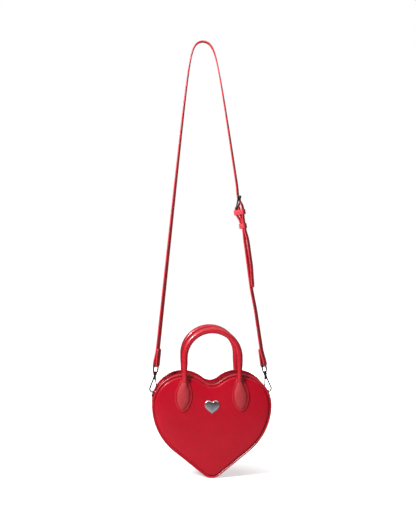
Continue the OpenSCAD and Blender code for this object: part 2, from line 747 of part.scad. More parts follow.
function face_w(u) = route_n(u) * sin(strap_angle(u)) + [0, cos(strap_angle(u)), 0];

// One ring of the strap's section, with its corners cut
function strap_ring(p, n, w, width = strap_w) = let (a = width / 2, b = strap_t / 2, c = min(strap_t / 5, a / 2))
    [for (q = [[a, b - c], [a - c, b], [c - a, b], [-a, b - c], [-a, c - b], [c - a, -b], [a - c, -b],
        [a, c - b]]) p + w * q[0] + n * q[1]];
function route_ring(u, off, width = strap_w) =
    strap_ring(route(u) + face_n(u) * off, face_n(u), face_w(u), width);

// Rings round a bar and back up: the bar lies on the route, and turn is 1 or -1 for the way round
function loop_rings(u, c_off, r, turn) = let (s = u < 0 ? left : right, n = face_n(u), w = face_w(u),
        t = route_t(u) * s * turn, c = route(u) + n * c_off)
    [for (k = [0 : 8]) let (a = k * 22.5)
        strap_ring(c + r * (n * cos(a) + t * sin(a)), n * cos(a) + t * sin(a), w)];

eye_loop = eye_wire / 2 + ply_gap + strap_t / 2;
ply = strap_t + ply_gap;

// The layer that comes back up from an eye, from the loop to its end
function fold_back(side) = let (u = side * depth_u(end_depth(side)), n = face_n(u), w = face_w(u),
        t = route_t(u) * side)
    [for (k = [1 : 6]) strap_ring(route(u) + n * between(-eye_loop, -ply, ease(min(k / 4, 1)))
        - t * fold_l * k / 6, -n, w)];

// Distance of the main layer from the route near an eye
function eye_off(side, depth) = blend([[end_depth(side) - fold_l, 0], [end_depth(side), eye_loop]], depth);

// Buckle: distances from the route, outwards, of the bars and of the layers near them
heel_off = -strap_t * 2.1;
bar_off = strap_t * 0.75;
heel_loop = buckle_wire / 2 + ply_gap + strap_t / 2;
prong_eye = buckle_wire / 2 + run_gap + prong_d * 0.75;
front_drop = buckle_drop - sqrt(pow(buckle_l, 2) - pow(bar_off - heel_off, 2));
keeper_top = buckle_drop + heel_loop + keeper_h / 2;
keeper_low = keeper_top + keeper_h * 2.7;
tail_drop = buckle_drop + tail_l;
under_off = bar_off - buckle_wire / 2 - ply_gap - strap_t / 2;
long_stops = [[front_drop - buckle_l, 0], [front_drop, under_off], [buckle_drop, strap_t * 1.8],
    [keeper_top, strap_t * 1.55], [between(keeper_top, keeper_low, 0.5), ply],
    [keeper_low + keeper_h / 2, ply], [keeper_low + keeper_h * 3, strap_t * 2.1],
    [keeper_low + keeper_h * 7, strap_t * 1.95], [tail_drop, strap_t * 0.75]];
short_stops = [[buckle_drop, heel_off + heel_loop], [keeper_top, heel_off + heel_loop],
    [between(keeper_top, keeper_low, 0.6), 0], [keeper_low + keeper_h / 2, 0],
    [keeper_low + keeper_h * 3, -strap_t * 0.35], [tail_drop, -strap_t * 0.7], [tail_drop + keeper_h * 5, 0]];
fold_stops = [[buckle_drop, heel_off - heel_loop], [keeper_top, heel_off - heel_loop - strap_t * 0.25],
    [keeper_low - keeper_h / 2, -ply], [keeper_low, -ply]];
tip_shares = [[0.3, 0.97], [0.6, 0.8], [0.85, 0.53], [1, 0.22]];

module strap_hole(depth) {
    u = depth_u(depth);
    off = blend(long_stops, depth);
    frame_at(route(u) + face_n(u) * off, face_w(u), route_t(u), face_n(u)) translate([0, 0, -strap_t * 2]) {
        for (end = [left, right]) translate([0, end * (hole_l - hole_w) / 2, 0])
            cylinder(d = hole_w, h = strap_t * 4, $fn = 24);
        translate([-hole_w / 2, -(hole_l - hole_w) / 2, 0]) cube([hole_w, hole_l - hole_w, strap_t * 4]);
    }
}

prong_drop = front_drop + buckle_l * 0.36;

module strap_long() {
    u0 = depth_u(end_depth(left));
    steps = 40;
    top_u = depth_u(front_drop - buckle_l);
    left_rings = [for (k = [0 : steps]) let (u = -u0 * (1 - k / steps))
        route_ring(u, eye_off(left, crown_depth * u * u))];
    right_rings = [for (k = [1 : 26]) route_ring(top_u * k / 26, 0)];
    drop_0 = front_drop - buckle_l;
    drop_1 = keeper_low + keeper_h / 2;
    buckle_rings = [for (k = [1 : 22]) let (d = between(drop_0, drop_1, k / 22))
        route_ring(depth_u(d), blend(long_stops, d))];
    tip = strap_w * 0.7;
    tail_rings = [for (k = [1 : 10]) let (d = between(drop_1, tail_drop - tip, k / 10))
        route_ring(depth_u(d), blend(long_stops, d))];
    tip_rings = [for (s = tip_shares) let (d = tail_drop - tip + tip * s[0])
        route_ring(depth_u(d), blend(long_stops, d), strap_w * s[1])];
    color(red) difference() {
        loft(concat(back_to_front(fold_back(left)), back_to_front(loop_rings(-u0, 0, eye_loop, 1)),
            left_rings, right_rings, buckle_rings, tail_rings, tip_rings));
        strap_hole(prong_drop);
        for (k = [1 : 3]) strap_hole(prong_drop - k * hole_step);
        for (k = [3 : 5]) strap_hole(prong_drop + k * hole_step);
    }
}

// Frame of the heel bar: X along the bar, Y down the strap, Z outwards
module at_heel() {
    u = depth_u(buckle_drop);
    frame_at(route(u) + face_n(u) * heel_off, face_w(u), route_t(u), face_n(u)) children();
}

module strap_short() {
    u0 = depth_u(end_depth(right));
    u1 = depth_u(buckle_drop);
    steps = 30;
    main = [for (k = [0 : steps]) let (d = between(end_depth(right), buckle_drop, k / steps))
        route_ring(depth_u(d), blend(short_stops, d) + eye_off(right, d))];
    top_fold = [for (k = [1 : 8]) let (d = between(buckle_drop, keeper_low, k / 8), u = depth_u(d))
        strap_ring(route(u) + face_n(u) * blend(fold_stops, d), -face_n(u), face_w(u))];
    color(red) difference() {
        loft(back_to_front(concat(back_to_front(fold_back(right)), back_to_front(loop_rings(u0, 0, eye_loop, 1)),
            main, loop_rings(u1, heel_off, heel_loop, -1), top_fold)));
        at_heel() translate([-prong_d, -heel_loop * 2, -heel_loop * 1.6])
            cube([prong_d * 2, heel_loop * 2 + prong_eye + ply_gap, heel_loop * 3.2]);
    }
}

frame_r = strap_w / 2 + ply_gap + buckle_wire / 2;
frame_tilt = asin((bar_off - heel_off) / buckle_l);

module buckle_frame() {
    color(gunmetal) at_heel() rotate([-frame_tilt, 0, 0]) {
        for (y = [0, -buckle_l]) bar([-frame_r, y, 0], [frame_r, y, 0], buckle_wire);
        for (x = [-frame_r, frame_r]) {
            bar([x, 0, 0], [x, -buckle_l, 0], buckle_wire);
            for (y = [0, -buckle_l]) translate([x, y, 0]) sphere(d = buckle_wire);
        }
    }
}

prong_r = buckle_wire / 2 + prong_d / 2 + run_gap;
prong_rise = asin((prong_r + seam_gap) / buckle_l);

module buckle_prong() {
    color(gunmetal) at_heel() rotate([-frame_tilt - prong_rise, 0, 0]) {
        difference() {
            rotate([0, 90, 0])
                cylinder(r = prong_eye, h = prong_d * 1.25, center = true);
            rotate([0, 90, 0]) cylinder(d = buckle_wire + 2 * run_gap, h = cut, center = true);
        }
        bar([0, -prong_r + prong_d / 4, 0], [0, -buckle_l - buckle_wire / 2, 0], prong_d);
    }
}

module keeper(depth, low, high) {
    u = depth_u(depth);
    half_w = strap_w / 2 + ply_gap;
    n0 = low - strap_t / 2 - ply_gap;
    n1 = high + strap_t / 2 + ply_gap;
    color(red) frame_at(route(u), face_w(u), route_t(u), face_n(u)) difference() {
        translate([-half_w - keeper_t, -keeper_h / 2, n0 - keeper_t])
            cube([2 * (half_w + keeper_t), keeper_h, n1 - n0 + 2 * keeper_t]);
        translate([-half_w, -cut, n0]) cube([2 * half_w, 2 * cut, n1 - n0]);
    }
}

module keeper_upper() {
    keeper(keeper_top, heel_off - heel_loop - strap_t * 0.3, strap_t * 1.75);
}

module keeper_lower() {
    keeper(keeper_low, -ply, ply);
}

strap_long();
strap_short();
buckle_frame();
buckle_prong();
keeper_upper();
keeper_lower();
hook_eye(left);  // left_hook_eye
hook_eye(right);  // right_hook_eye
hook_body(left);  // left_hook_body
hook_body(right);  // right_hook_body
hook_gate(left);  // left_hook_gate
hook_gate(right);  // right_hook_gate
gate_pin(left);  // left_gate_pin
gate_pin(right);  // right_gate_pin
ring(left);  // left_ring
ring(right);  // right_ring
ring_tab(left);  // left_ring_tab
ring_tab(right);  // right_ring_tab
color(red) panel(front);  // front_panel
color(red) panel(back);  // back_panel
color(buff) pad(front);  // front_pad
color(buff) pad(back);  // back_pad
color(buff) board(front);  // front_board
color(buff) board(back);  // back_board
color(dark_red) piping(front);  // front_piping
color(dark_red) piping(back);  // back_piping
side_wall();
zip_facing(front);  // front_zip_facing
zip_facing(back);  // back_zip_facing
zip_tapes();
zip_teeth();
zip_stops();
zip_slider();
zip_pull();
lining();
slip_pocket();
handle(front);  // front_handle
handle(back);  // back_handle
handle_core(front);  // front_handle_core
handle_core(back);  // back_handle_core
handle_tab(front, left);  // front_left_tab
handle_tab(front, right);  // front_right_tab
handle_tab(back, left);  // back_left_tab
handle_tab(back, right);  // back_right_tab
emblem();
emblem_washers();
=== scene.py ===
import json
import math
import bpy
import bmesh
import numpy as np
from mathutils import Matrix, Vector, noise


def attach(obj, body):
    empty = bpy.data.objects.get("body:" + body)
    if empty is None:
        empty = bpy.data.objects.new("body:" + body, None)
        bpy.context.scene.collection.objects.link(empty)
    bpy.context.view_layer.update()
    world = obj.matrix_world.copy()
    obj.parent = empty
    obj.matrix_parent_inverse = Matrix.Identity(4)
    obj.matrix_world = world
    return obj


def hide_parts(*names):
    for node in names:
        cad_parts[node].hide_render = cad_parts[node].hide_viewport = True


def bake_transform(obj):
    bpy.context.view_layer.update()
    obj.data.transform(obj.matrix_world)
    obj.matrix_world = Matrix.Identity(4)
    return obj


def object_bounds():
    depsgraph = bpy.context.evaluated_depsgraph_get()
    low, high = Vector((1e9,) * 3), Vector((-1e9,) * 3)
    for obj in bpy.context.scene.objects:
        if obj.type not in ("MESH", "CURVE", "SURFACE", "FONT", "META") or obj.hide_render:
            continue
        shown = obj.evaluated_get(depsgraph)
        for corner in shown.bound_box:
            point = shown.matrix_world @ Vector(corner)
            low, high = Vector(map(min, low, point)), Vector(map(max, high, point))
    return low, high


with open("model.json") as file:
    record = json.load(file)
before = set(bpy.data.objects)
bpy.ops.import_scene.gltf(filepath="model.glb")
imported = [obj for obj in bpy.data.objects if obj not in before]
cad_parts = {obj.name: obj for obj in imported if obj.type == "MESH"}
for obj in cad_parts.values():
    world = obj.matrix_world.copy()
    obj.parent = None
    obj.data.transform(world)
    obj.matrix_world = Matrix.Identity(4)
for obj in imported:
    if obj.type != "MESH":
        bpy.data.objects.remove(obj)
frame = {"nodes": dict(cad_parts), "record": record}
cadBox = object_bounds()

mm = 0.001
front, back = -1, 1
left, right = -1, 1
faceWord = {front: "front", back: "back"}
endWord = {left: "left", right: "right"}
upY = np.array((0.0, 1.0, 0.0))
scene = bpy.context.scene
nodes = frame["nodes"]

# camera: level with the middle of the strap, a little to the left of the bag
view = {"place": (-90.2, -1897.4, -379.2), "aim": (9.2, 0.0, -379.2), "lens": 75.5, "sensor": 36.0}

camera = bpy.data.objects.new("camera", bpy.data.cameras.new("camera"))
scene.collection.objects.link(camera)
camera.data.sensor_fit = "AUTO"
camera.data.sensor_width = view["sensor"]
camera.data.lens = view["lens"]
camera.location = Vector(view["place"]) * mm
camera.rotation_euler = (Vector(view["aim"]) * mm - camera.location).to_track_quat("-Z", "Y").to_euler()
scene.camera = camera


# shader helpers
def newGroup(name, inputs, outputs):
    group = bpy.data.node_groups.new(name, "ShaderNodeTree")
    for label, value in inputs:
        kind = "NodeSocketColor" if isinstance(value, tuple) else "NodeSocketFloat"
        socket = group.interface.new_socket(label, in_out="INPUT", socket_type=kind)
        socket.default_value = (*value, 1.0) if isinstance(value, tuple) else value
    for label, kind in outputs:
        group.interface.new_socket(label, in_out="OUTPUT", socket_type="NodeSocket" + kind)
    return group, group.nodes.new("NodeGroupInput"), group.nodes.new("NodeGroupOutput")


def addNode(tree, kind, settings=None, **values):
    node = tree.nodes.new("ShaderNode" + kind)
    for key, value in (settings or {}).items():
        setattr(node, key, value)
    for key, value in values.items():
        node.inputs[key.replace("_", " ")].default_value = value
    return node


# a socket takes a number, a colour or another node's output
def feed(tree, value, socket):
    if isinstance(value, (int, float)):
        socket.default_value = value
    elif isinstance(value, tuple):
        socket.default_value = (*value, 1.0)
    else:
        tree.links.new(value, socket)


def maths(tree, operation, a, b, clamp=False):
    node = addNode(tree, "Math", {"operation": operation, "use_clamp": clamp})
    feed(tree, a, node.inputs[0])
    feed(tree, b, node.inputs[1])
    return node.outputs[0]


def remap(tree, value, low, high, toLow=0.0, toHigh=1.0):
    node = addNode(tree, "MapRange")
    numbers = {"Value": value, "From Min": low, "From Max": high, "To Min": toLow, "To Max": toHigh}
    for label, number in numbers.items():
        feed(tree, number, node.inputs[label])
    return node.outputs["Result"]


def mixColour(tree, factor, a, b, blend="MIX"):
    node = addNode(tree, "Mix", {"data_type": "RGBA", "blend_type": blend})
    for index, value in ((0, factor), (6, a), (7, b)):
        feed(tree, value, node.inputs[index])
    return node.outputs[2]


def objectPlace(tree):
    return addNode(tree, "TexCoord").outputs["Object"]


def texture(tree, kind, where, scale, settings=None, **values):
    node = addNode(tree, kind, settings, **values)
    tree.links.new(where, node.inputs["Vector"])
    feed(tree, scale, node.inputs["Scale"])
    return node


def greyOf(tree, value):
    grey = addNode(tree, "CombineColor")
    for index in range(3):
        tree.links.new(value, grey.inputs[index])
    return grey.outputs[0]


# pebbled leather: cells with soft creases between them, and fine pores
def leatherGrainGroup():
    group, inner, outer = newGroup("leatherGrain", (("Cells", 900.0), ("Pores", 2600.0), ("Crease", 0.5)),
                                   (("Height", "Float"), ("Hollow", "Float")))
    where = objectPlace(group)
    warp = texture(group, "TexNoise", where, 220.0, Detail=2.0)
    shift = addNode(group, "VectorMath", {"operation": "SCALE"}, Scale=0.0012)
    group.links.new(warp.outputs["Color"], shift.inputs[0])
    bent = addNode(group, "VectorMath", {"operation": "ADD"})
    group.links.new(where, bent.inputs[0])
    group.links.new(shift.outputs[0], bent.inputs[1])
    cells = texture(group, "TexVoronoi", bent.outputs[0], inner.outputs["Cells"],
                    {"feature": "DISTANCE_TO_EDGE"})
    pebble = remap(group, cells.outputs["Distance"], 0.0, 0.22)
    pores = texture(group, "TexNoise", where, inner.outputs["Pores"], Detail=3.0)
    creased = maths(group, "MULTIPLY", pebble, inner.outputs["Crease"])
    height = maths(group, "ADD", creased, maths(group, "MULTIPLY", pores.outputs["Fac"], 0.35))
    group.links.new(height, outer.inputs["Height"])
    group.links.new(maths(group, "SUBTRACT", 1.0, pebble, True), outer.inputs["Hollow"])
    return group


# slow changes of tone over a hide, a cloth or a plated part
def toneDriftGroup():
    group, inner, outer = newGroup("toneDrift",
                                   (("Colour", (0.5, 0.02, 0.04)), ("Amount", 0.2), ("Size", 18.0)),
                                   (("Colour", "Color"), ("Drift", "Float")))
    cloud = texture(group, "TexNoise", objectPlace(group), inner.outputs["Size"], Detail=4.0, Roughness=0.55)
    drift = remap(group, cloud.outputs["Fac"], 0.3, 0.7)
    swing = maths(group, "MULTIPLY", maths(group, "SUBTRACT", drift, 0.5), inner.outputs["Amount"])
    lift = greyOf(group, maths(group, "ADD", 1.0, swing))
    group.links.new(mixColour(group, 1.0, inner.outputs["Colour"], lift, "MULTIPLY"), outer.inputs["Colour"])
    group.links.new(drift, outer.inputs["Drift"])
    return group


# rubbed places along raised edges, broken up by noise
def edgeWearGroup():
    group, inner, outer = newGroup("edgeWear", (("Amount", 0.5), ("Grain", 260.0)), (("Wear", "Float"),))
    raised = remap(group, addNode(group, "NewGeometry").outputs["Pointiness"], 0.505, 0.56)
    broken = texture(group, "TexNoise", objectPlace(group), inner.outputs["Grain"], Detail=5.0,
                     Roughness=0.65)
    spots = remap(group, broken.outputs["Fac"], 0.42, 0.62)
    worn = maths(group, "MULTIPLY", maths(group, "MULTIPLY", raised, spots), inner.outputs["Amount"], True)
    group.links.new(worn, outer.inputs["Wear"])
    return group


# fine rub marks on plated metal
def rubMarksGroup():
    group, inner, outer = newGroup("rubMarks", (("Scale", 500.0), ("Stretch", 9.0)),
                                   (("Marks", "Float"), ("Smudge", "Float")))
    where = objectPlace(group)
    across = addNode(group, "CombineXYZ", X=1.0, Y=1.0)
    group.links.new(inner.outputs["Stretch"], across.inputs["Z"])
    pulled = addNode(group, "VectorMath", {"operation": "MULTIPLY"})
    group.links.new(where, pulled.inputs[0])
    group.links.new(across.outputs[0], pulled.inputs[1])
    scratch = texture(group, "TexNoise", pulled.outputs[0], inner.outputs["Scale"], Detail=3.0, Roughness=0.7)
    smudge = texture(group, "TexNoise", where, 90.0, Detail=3.0)
    group.links.new(remap(group, scratch.outputs["Fac"], 0.4, 0.7), outer.inputs["Marks"])
    group.links.new(remap(group, smudge.outputs["Fac"], 0.35, 0.7), outer.inputs["Smudge"])
    return group


# plain weave: warp and weft threads that pass over each other, and a mask of the gaps between them that takes
# painted shade
def clothWeaveGroup():
    group, inner, outer = newGroup("clothWeave", (("Threads", 1400.0),),
                                   (("Height", "Float"), ("Gap", "Float")))
    split = addNode(group, "SeparateXYZ")
    group.links.new(objectPlace(group), split.inputs[0])
    waves = []
    for axis in range(3):
        turned = maths(group, "MULTIPLY", split.outputs[axis], inner.outputs["Threads"])
        waves.append(maths(group, "SINE", turned, 0.0))
    over = maths(group, "MULTIPLY", waves[1], maths(group, "ADD", waves[0], waves[2]))
    height = remap(group, over, -1.0, 1.0)
    group.links.new(height, outer.inputs["Height"])
    group.links.new(maths(group, "SUBTRACT", 1.0, height, True), outer.inputs["Gap"])
    return group


leatherGrain = leatherGrainGroup()
toneDrift = toneDriftGroup()
edgeWear = edgeWearGroup()
rubMarks = rubMarksGroup()
clothWeave = clothWeaveGroup()


def useGroup(tree, group, **values):
    node = tree.nodes.new("ShaderNodeGroup")
    node.node_tree = group
    for key, value in values.items():
        node.inputs[key].default_value = (*value, 1.0) if isinstance(value, tuple) else value
    return node


def startMaterial(name, **fixed):
    material = bpy.data.materials.new(name)
    material.use_nodes = True
    tree = material.node_tree
    shader = tree.nodes["Principled BSDF"]
    for key, value in fixed.items():
        shader.inputs[key.replace("_", " ")].default_value = value
    return material, tree, shader


def addBump(tree, shader, height, distance):
    bump = addNode(tree, "Bump", Strength=1.0, Distance=distance)
    tree.links.new(height, bump.inputs["Height"])
    tree.links.new(bump.outputs["Normal"], shader.inputs["Normal"])


# every material here takes its base colour and a roughness between two ends of a slow mask
def finishSurface(tree, shader, colour, mask, rough):
    tree.links.new(colour, shader.inputs["Base Color"])
    tree.links.new(remap(tree, mask, 0.0, 1.0, *rough), shader.inputs["Roughness"])


# leather finishes: colour, the darker colour painted into the grain's hollows as shade, the rubbed colour,
# roughness, grain and the gloss on top
leatherBase = {"shine": 0.5, "glaze": 0.28, "wear": 0.45, "poresPerCell": 3.1, "hollowShadeAmount": 0.30,
               "hollowRough": 0.12}
# deep is the colour of the painted shade in the grain's hollows
leatherFinish = {
    "panelLeather": {"colour": (0.53, 0.002, 0.017), "deep": (0.36, 0.002, 0.012),
                     "rubbed": (0.60, 0.03, 0.05), "rough": (0.20, 0.27), "cells": 760.0, "crease": 0.35,
                     "bump": 0.00004, "drift": 0.12, "coat": 0.3, "glaze": 0.14, "shine": 0.3},
    "handleLeather": {"colour": (0.60, 0.006, 0.022), "deep": (0.40, 0.004, 0.014),
                      "rubbed": (0.68, 0.04, 0.06), "rough": (0.22, 0.30), "cells": 820.0, "crease": 0.35,
                      "bump": 0.00002, "drift": 0.12, "coat": 0.6, "glaze": 0.14},
    "tabLeather": {"colour": (0.54, 0.028, 0.040), "deep": (0.36, 0.020, 0.026),
                   "rubbed": (0.72, 0.12, 0.12), "rough": (0.50, 0.62), "cells": 1500.0, "crease": 0.9,
                   "bump": 0.00014, "drift": 0.16, "coat": 0.0},
    "wallLeather": {"colour": (0.42, 0.003, 0.014), "deep": (0.28, 0.002, 0.010),
                    "rubbed": (0.56, 0.03, 0.05), "rough": (0.32, 0.40), "cells": 760.0, "crease": 0.4,
                    "bump": 0.00004, "drift": 0.14, "coat": 0.0, "shine": 0.12},
    "pipingLeather": {"colour": (0.52, 0.005, 0.020), "deep": (0.26, 0.004, 0.012),
                      "rubbed": (0.66, 0.06, 0.08), "rough": (0.20, 0.28), "cells": 1000.0, "crease": 0.3,
                      "bump": 0.00002, "drift": 0.12, "coat": 0.35, "glaze": 0.24},
    # the strap leather is lighter than the panel leather: painted light on the strap's faces
    "strapLeather": {"colour": (0.76, 0.045, 0.065), "deep": (0.58, 0.025, 0.040),
                     "rubbed": (0.82, 0.10, 0.12), "rough": (0.34, 0.44), "cells": 900.0, "crease": 0.3,
                     "bump": 0.00002, "drift": 0.12, "coat": 0.1},
}


def leatherMaterial(name):
    finish = {**leatherBase, **leatherFinish[name]}
    material, tree, shader = startMaterial(name, Coat_Weight=finish["coat"], Coat_Roughness=finish["glaze"],
                                           Specular_IOR_Level=finish["shine"])
    toned = useGroup(tree, toneDrift, Colour=finish["colour"], Amount=finish["drift"])
    grain = useGroup(tree, leatherGrain, Cells=finish["cells"], Crease=finish["crease"],
                     Pores=finish["cells"] * finish["poresPerCell"])
    wear = useGroup(tree, edgeWear, Amount=finish["wear"])
    # the grain's hollows are darkened towards the deep colour: painted shade in the creases
    hollowShade = maths(tree, "MULTIPLY", grain.outputs["Hollow"], finish["hollowShadeAmount"])
    sunk = mixColour(tree, hollowShade, toned.outputs["Colour"], finish["deep"])
    worn = mixColour(tree, wear.outputs["Wear"], sunk, finish["rubbed"])
    tree.links.new(worn, shader.inputs["Base Color"])
    rough = remap(tree, toned.outputs["Drift"], 0.0, 1.0, *finish["rough"])
    sunkRough = maths(tree, "MULTIPLY", grain.outputs["Hollow"], finish["hollowRough"])
    tree.links.new(maths(tree, "ADD", rough, sunkRough), shader.inputs["Roughness"])
    addBump(tree, shader, grain.outputs["Height"], finish["bump"])
    return material


# painted edges: smoother than the faces, with a few rubbed spots; their colour is lightened with the strap's
# as painted light
edgeFinish = {"colour": (0.74, 0.045, 0.065), "rubbed": (0.70, 0.07, 0.09), "rough": (0.30, 0.42),
              "drift": 0.15, "size": 60.0, "wear": 0.35, "wearGrain": 420.0, "coat": 0.2, "glaze": 0.25,
              "bump": 0.00002}


def edgePaintMaterial():
    material, tree, shader = startMaterial("edgePaint", Coat_Weight=edgeFinish["coat"],
                                           Coat_Roughness=edgeFinish["glaze"])
    toned = useGroup(tree, toneDrift, Colour=edgeFinish["colour"], Amount=edgeFinish["drift"],
                     Size=edgeFinish["size"])
    wear = useGroup(tree, edgeWear, Amount=edgeFinish["wear"], Grain=edgeFinish["wearGrain"])
    worn = mixColour(tree, wear.outputs["Wear"], toned.outputs["Colour"], edgeFinish["rubbed"])
    finishSurface(tree, shader, worn, toned.outputs["Drift"], edgeFinish["rough"])
    addBump(tree, shader, toned.outputs["Drift"], edgeFinish["bump"])
    return material


# sewing thread: the twist shows as slanted ridges, darkened in bands between them as painted shade
threadFinish = {"colour": (0.36, 0.006, 0.018), "deep": (0.25, 0.006, 0.014), "rough": (0.5, 0.65),
                "drift": 0.3, "size": 300.0, "shine": 0.2, "twist": 1100.0, "twistShade": 0.35,
                "bump": 0.00008}


def threadMaterial():
    material, tree, shader = startMaterial("stitchThread", Specular_IOR_Level=threadFinish["shine"])
    toned = useGroup(tree, toneDrift, Colour=threadFinish["colour"], Amount=threadFinish["drift"],
                     Size=threadFinish["size"])
    bands = {"wave_type": "BANDS", "bands_direction": "DIAGONAL"}
    twist = texture(tree, "TexWave", objectPlace(tree), threadFinish["twist"], bands, Distortion=0.6)
    # the twist's bands are darkened towards the deep colour: painted shade between the ridges
    dark = maths(tree, "MULTIPLY", twist.outputs["Fac"], threadFinish["twistShade"])
    shaded = mixColour(tree, dark, toned.outputs["Colour"], threadFinish["deep"])
    finishSurface(tree, shader, shaded, toned.outputs["Drift"], threadFinish["rough"])
    addBump(tree, shader, twist.outputs["Fac"], threadFinish["bump"])
    return material


# metals: plated colour, the bare colour that wear and rub marks show
metalBase = {"drift": 0.25, "size": 60.0, "wearGrain": 700.0, "marks": 0.12, "bump": 0.00001}
metalFinish = {
    "darkMetal": {"colour": (0.17, 0.165, 0.17), "bare": (0.42, 0.41, 0.41), "rough": (0.20, 0.34),
                  "wear": 0.8},
    "brightMetal": {"colour": (0.80, 0.81, 0.84), "bare": (0.90, 0.90, 0.91), "rough": (0.16, 0.28),
                    "wear": 0.4},
    "zipMetal": {"colour": (0.16, 0.15, 0.15), "bare": (0.38, 0.37, 0.36), "rough": (0.28, 0.42),
                 "wear": 0.6},
}


def metalMaterial(name):
    finish = {**metalBase, **metalFinish[name]}
    material, tree, shader = startMaterial(name, Metallic=1.0)
    toned = useGroup(tree, toneDrift, Colour=finish["colour"], Amount=finish["drift"], Size=finish["size"])
    marks = useGroup(tree, rubMarks)
    wear = useGroup(tree, edgeWear, Amount=finish["wear"], Grain=finish["wearGrain"])
    scratched = maths(tree, "MULTIPLY", marks.outputs["Marks"], finish["marks"])
    rubbed = maths(tree, "MAXIMUM", wear.outputs["Wear"], scratched)
    colour = mixColour(tree, rubbed, toned.outputs["Colour"], finish["bare"])
    finishSurface(tree, shader, colour, marks.outputs["Smudge"], finish["rough"])
    addBump(tree, shader, marks.outputs["Marks"], finish["bump"])
    return material


clothBase = {"drift": 0.2, "size": 40.0, "sheen": 0.15, "rough": (0.68, 0.82)}
# gap is the colour of the painted shade between the threads
clothFinish = {
    "tapeCloth": {"colour": (0.26, 0.008, 0.018), "gap": (0.10, 0.003, 0.007), "threads": 5200.0,
                  "bump": 0.00010},
    "liningCloth": {"colour": (0.10, 0.055, 0.050), "gap": (0.04, 0.020, 0.018), "threads": 7000.0,
                    "bump": 0.00006},
}


def clothMaterial(name):
    finish = {**clothBase, **clothFinish[name]}
    material, tree, shader = startMaterial(name, Sheen_Weight=finish["sheen"])
    toned = useGroup(tree, toneDrift, Colour=finish["colour"], Amount=finish["drift"], Size=finish["size"])
    weave = useGroup(tree, clothWeave, Threads=finish["threads"])
    # the gaps between the threads are darkened towards the gap colour: painted shade
    colour = mixColour(tree, weave.outputs["Gap"], toned.outputs["Colour"], finish["gap"])
    finishSurface(tree, shader, colour, toned.outputs["Drift"], finish["rough"])
    addBump(tree, shader, weave.outputs["Height"], finish["bump"])
    return material


# fibre board: a pale pressed sheet with flecks
boardFinish = {"colour": (0.46, 0.37, 0.26), "fleck": (0.26, 0.19, 0.12), "rough": (0.75, 0.95),
               "drift": 0.3, "size": 30.0, "fleckScale": 700.0, "bump": 0.0001}


def boardMaterial():
    material, tree, shader = startMaterial("fibreBoard")
    toned = useGroup(tree, toneDrift, Colour=boardFinish["colour"], Amount=boardFinish["drift"],
                     Size=boardFinish["size"])
    fleck = texture(tree, "TexNoise", objectPlace(tree), boardFinish["fleckScale"], Detail=6.0,
                    Roughness=0.75)
    spots = remap(tree, fleck.outputs["Fac"], 0.5, 0.75)
    colour = mixColour(tree, spots, toned.outputs["Colour"], boardFinish["fleck"])
    finishSurface(tree, shader, colour, fleck.outputs["Fac"], boardFinish["rough"])
    addBump(tree, shader, fleck.outputs["Fac"], boardFinish["bump"])
    return material


finishes = {name: leatherMaterial(name) for name in leatherFinish}
finishes.update({name: metalMaterial(name) for name in metalFinish})
finishes.update({name: clothMaterial(name) for name in clothFinish})
finishes["edgePaint"] = edgePaintMaterial()
finishes["stitchThread"] = threadMaterial()
finishes["fibreBoard"] = boardMaterial()
print("materials made:", len(finishes))


# mesh helpers, all in millimetres until the piece is made
def unit(v):
    v = np.asarray(v, float)
    return v / np.linalg.norm(v, axis=-1, keepdims=True)


def ease(t):
    t = np.clip(t, 0.0, 1.0)
    return t * t * (3 - 2 * t)


# stops are rows of (x, value), with a soft step from each to the next
def along(stops, x):
    xs, ys = zip(*stops)
    if x <= xs[0]:
        return ys[0]
    for i in range(len(xs) - 1):
        if x <= xs[i + 1]:
            return ys[i] + (ys[i + 1] - ys[i]) * float(ease((x - xs[i]) / (xs[i + 1] - xs[i])))
    return ys[-1]


# skin over closed rings of points: with a face at each end, open, or joined end to end
def loft(rings, lengthClosed=False, caps=True):
    count, size = len(rings), len(rings[0])
    points = [tuple(p) for ring in rings for p in ring]
    faces = []
    for k in range(count if lengthClosed else count - 1):
        a, b = k * size, (k + 1) % count * size
        for i in range(size):
            j = (i + 1) % size
            faces.append((a + i, a + j, b + j, b + i))
    if caps and not lengthClosed:
        faces.append(tuple(range(size - 1, -1, -1)))
        faces.append(tuple(range((count - 1) * size, count * size)))
    return points, faces


# one object from parts given as (points, faces, material index or one index for each face)
def makePiece(name, parts, materials, sharp=38.0):
    points, faces, picks = [], [], []
    for partPoints, partFaces, pick in parts:
        start = len(points)
        points.extend(partPoints)
        faces.extend(tuple(start + i for i in face) for face in partFaces)
        picks.extend([pick] * len(partFaces) if isinstance(pick, int) else pick)
    mesh = bpy.data.meshes.new(name)
    mesh.from_pydata((np.asarray(points, float) * mm).tolist(), [], faces)
    for material in materials:
        mesh.materials.append(finishes[material])
    mesh.polygons.foreach_set("material_index", picks)
    shape = bmesh.new()
    shape.from_mesh(mesh)
    bmesh.ops.recalc_face_normals(shape, faces=shape.faces)
    shape.to_mesh(mesh)
    shape.free()
    mesh.polygons.foreach_set("use_smooth", [True] * len(mesh.polygons))
    mesh.set_sharp_from_angle(angle=math.radians(sharp))
    piece = bpy.data.objects.new(name, mesh)
    scene.collection.objects.link(piece)
    return piece


def settle(piece, body, slot, *replaced):
    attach(piece, body)
    if replaced:
        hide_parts(*replaced)


def applyModifiers(piece):
    bpy.context.view_layer.update()
    shown = piece.evaluated_get(bpy.context.evaluated_depsgraph_get())
    finished = bpy.data.meshes.new_from_object(shown)
    piece.modifiers.clear()
    old = piece.data
    piece.data = finished
    bpy.data.meshes.remove(old)


def thicken(piece, thick, offset):
    cloth = piece.modifiers.new("cloth", "SOLIDIFY")
    cloth.thickness = thick * mm
    cloth.offset = offset
    applyModifiers(piece)


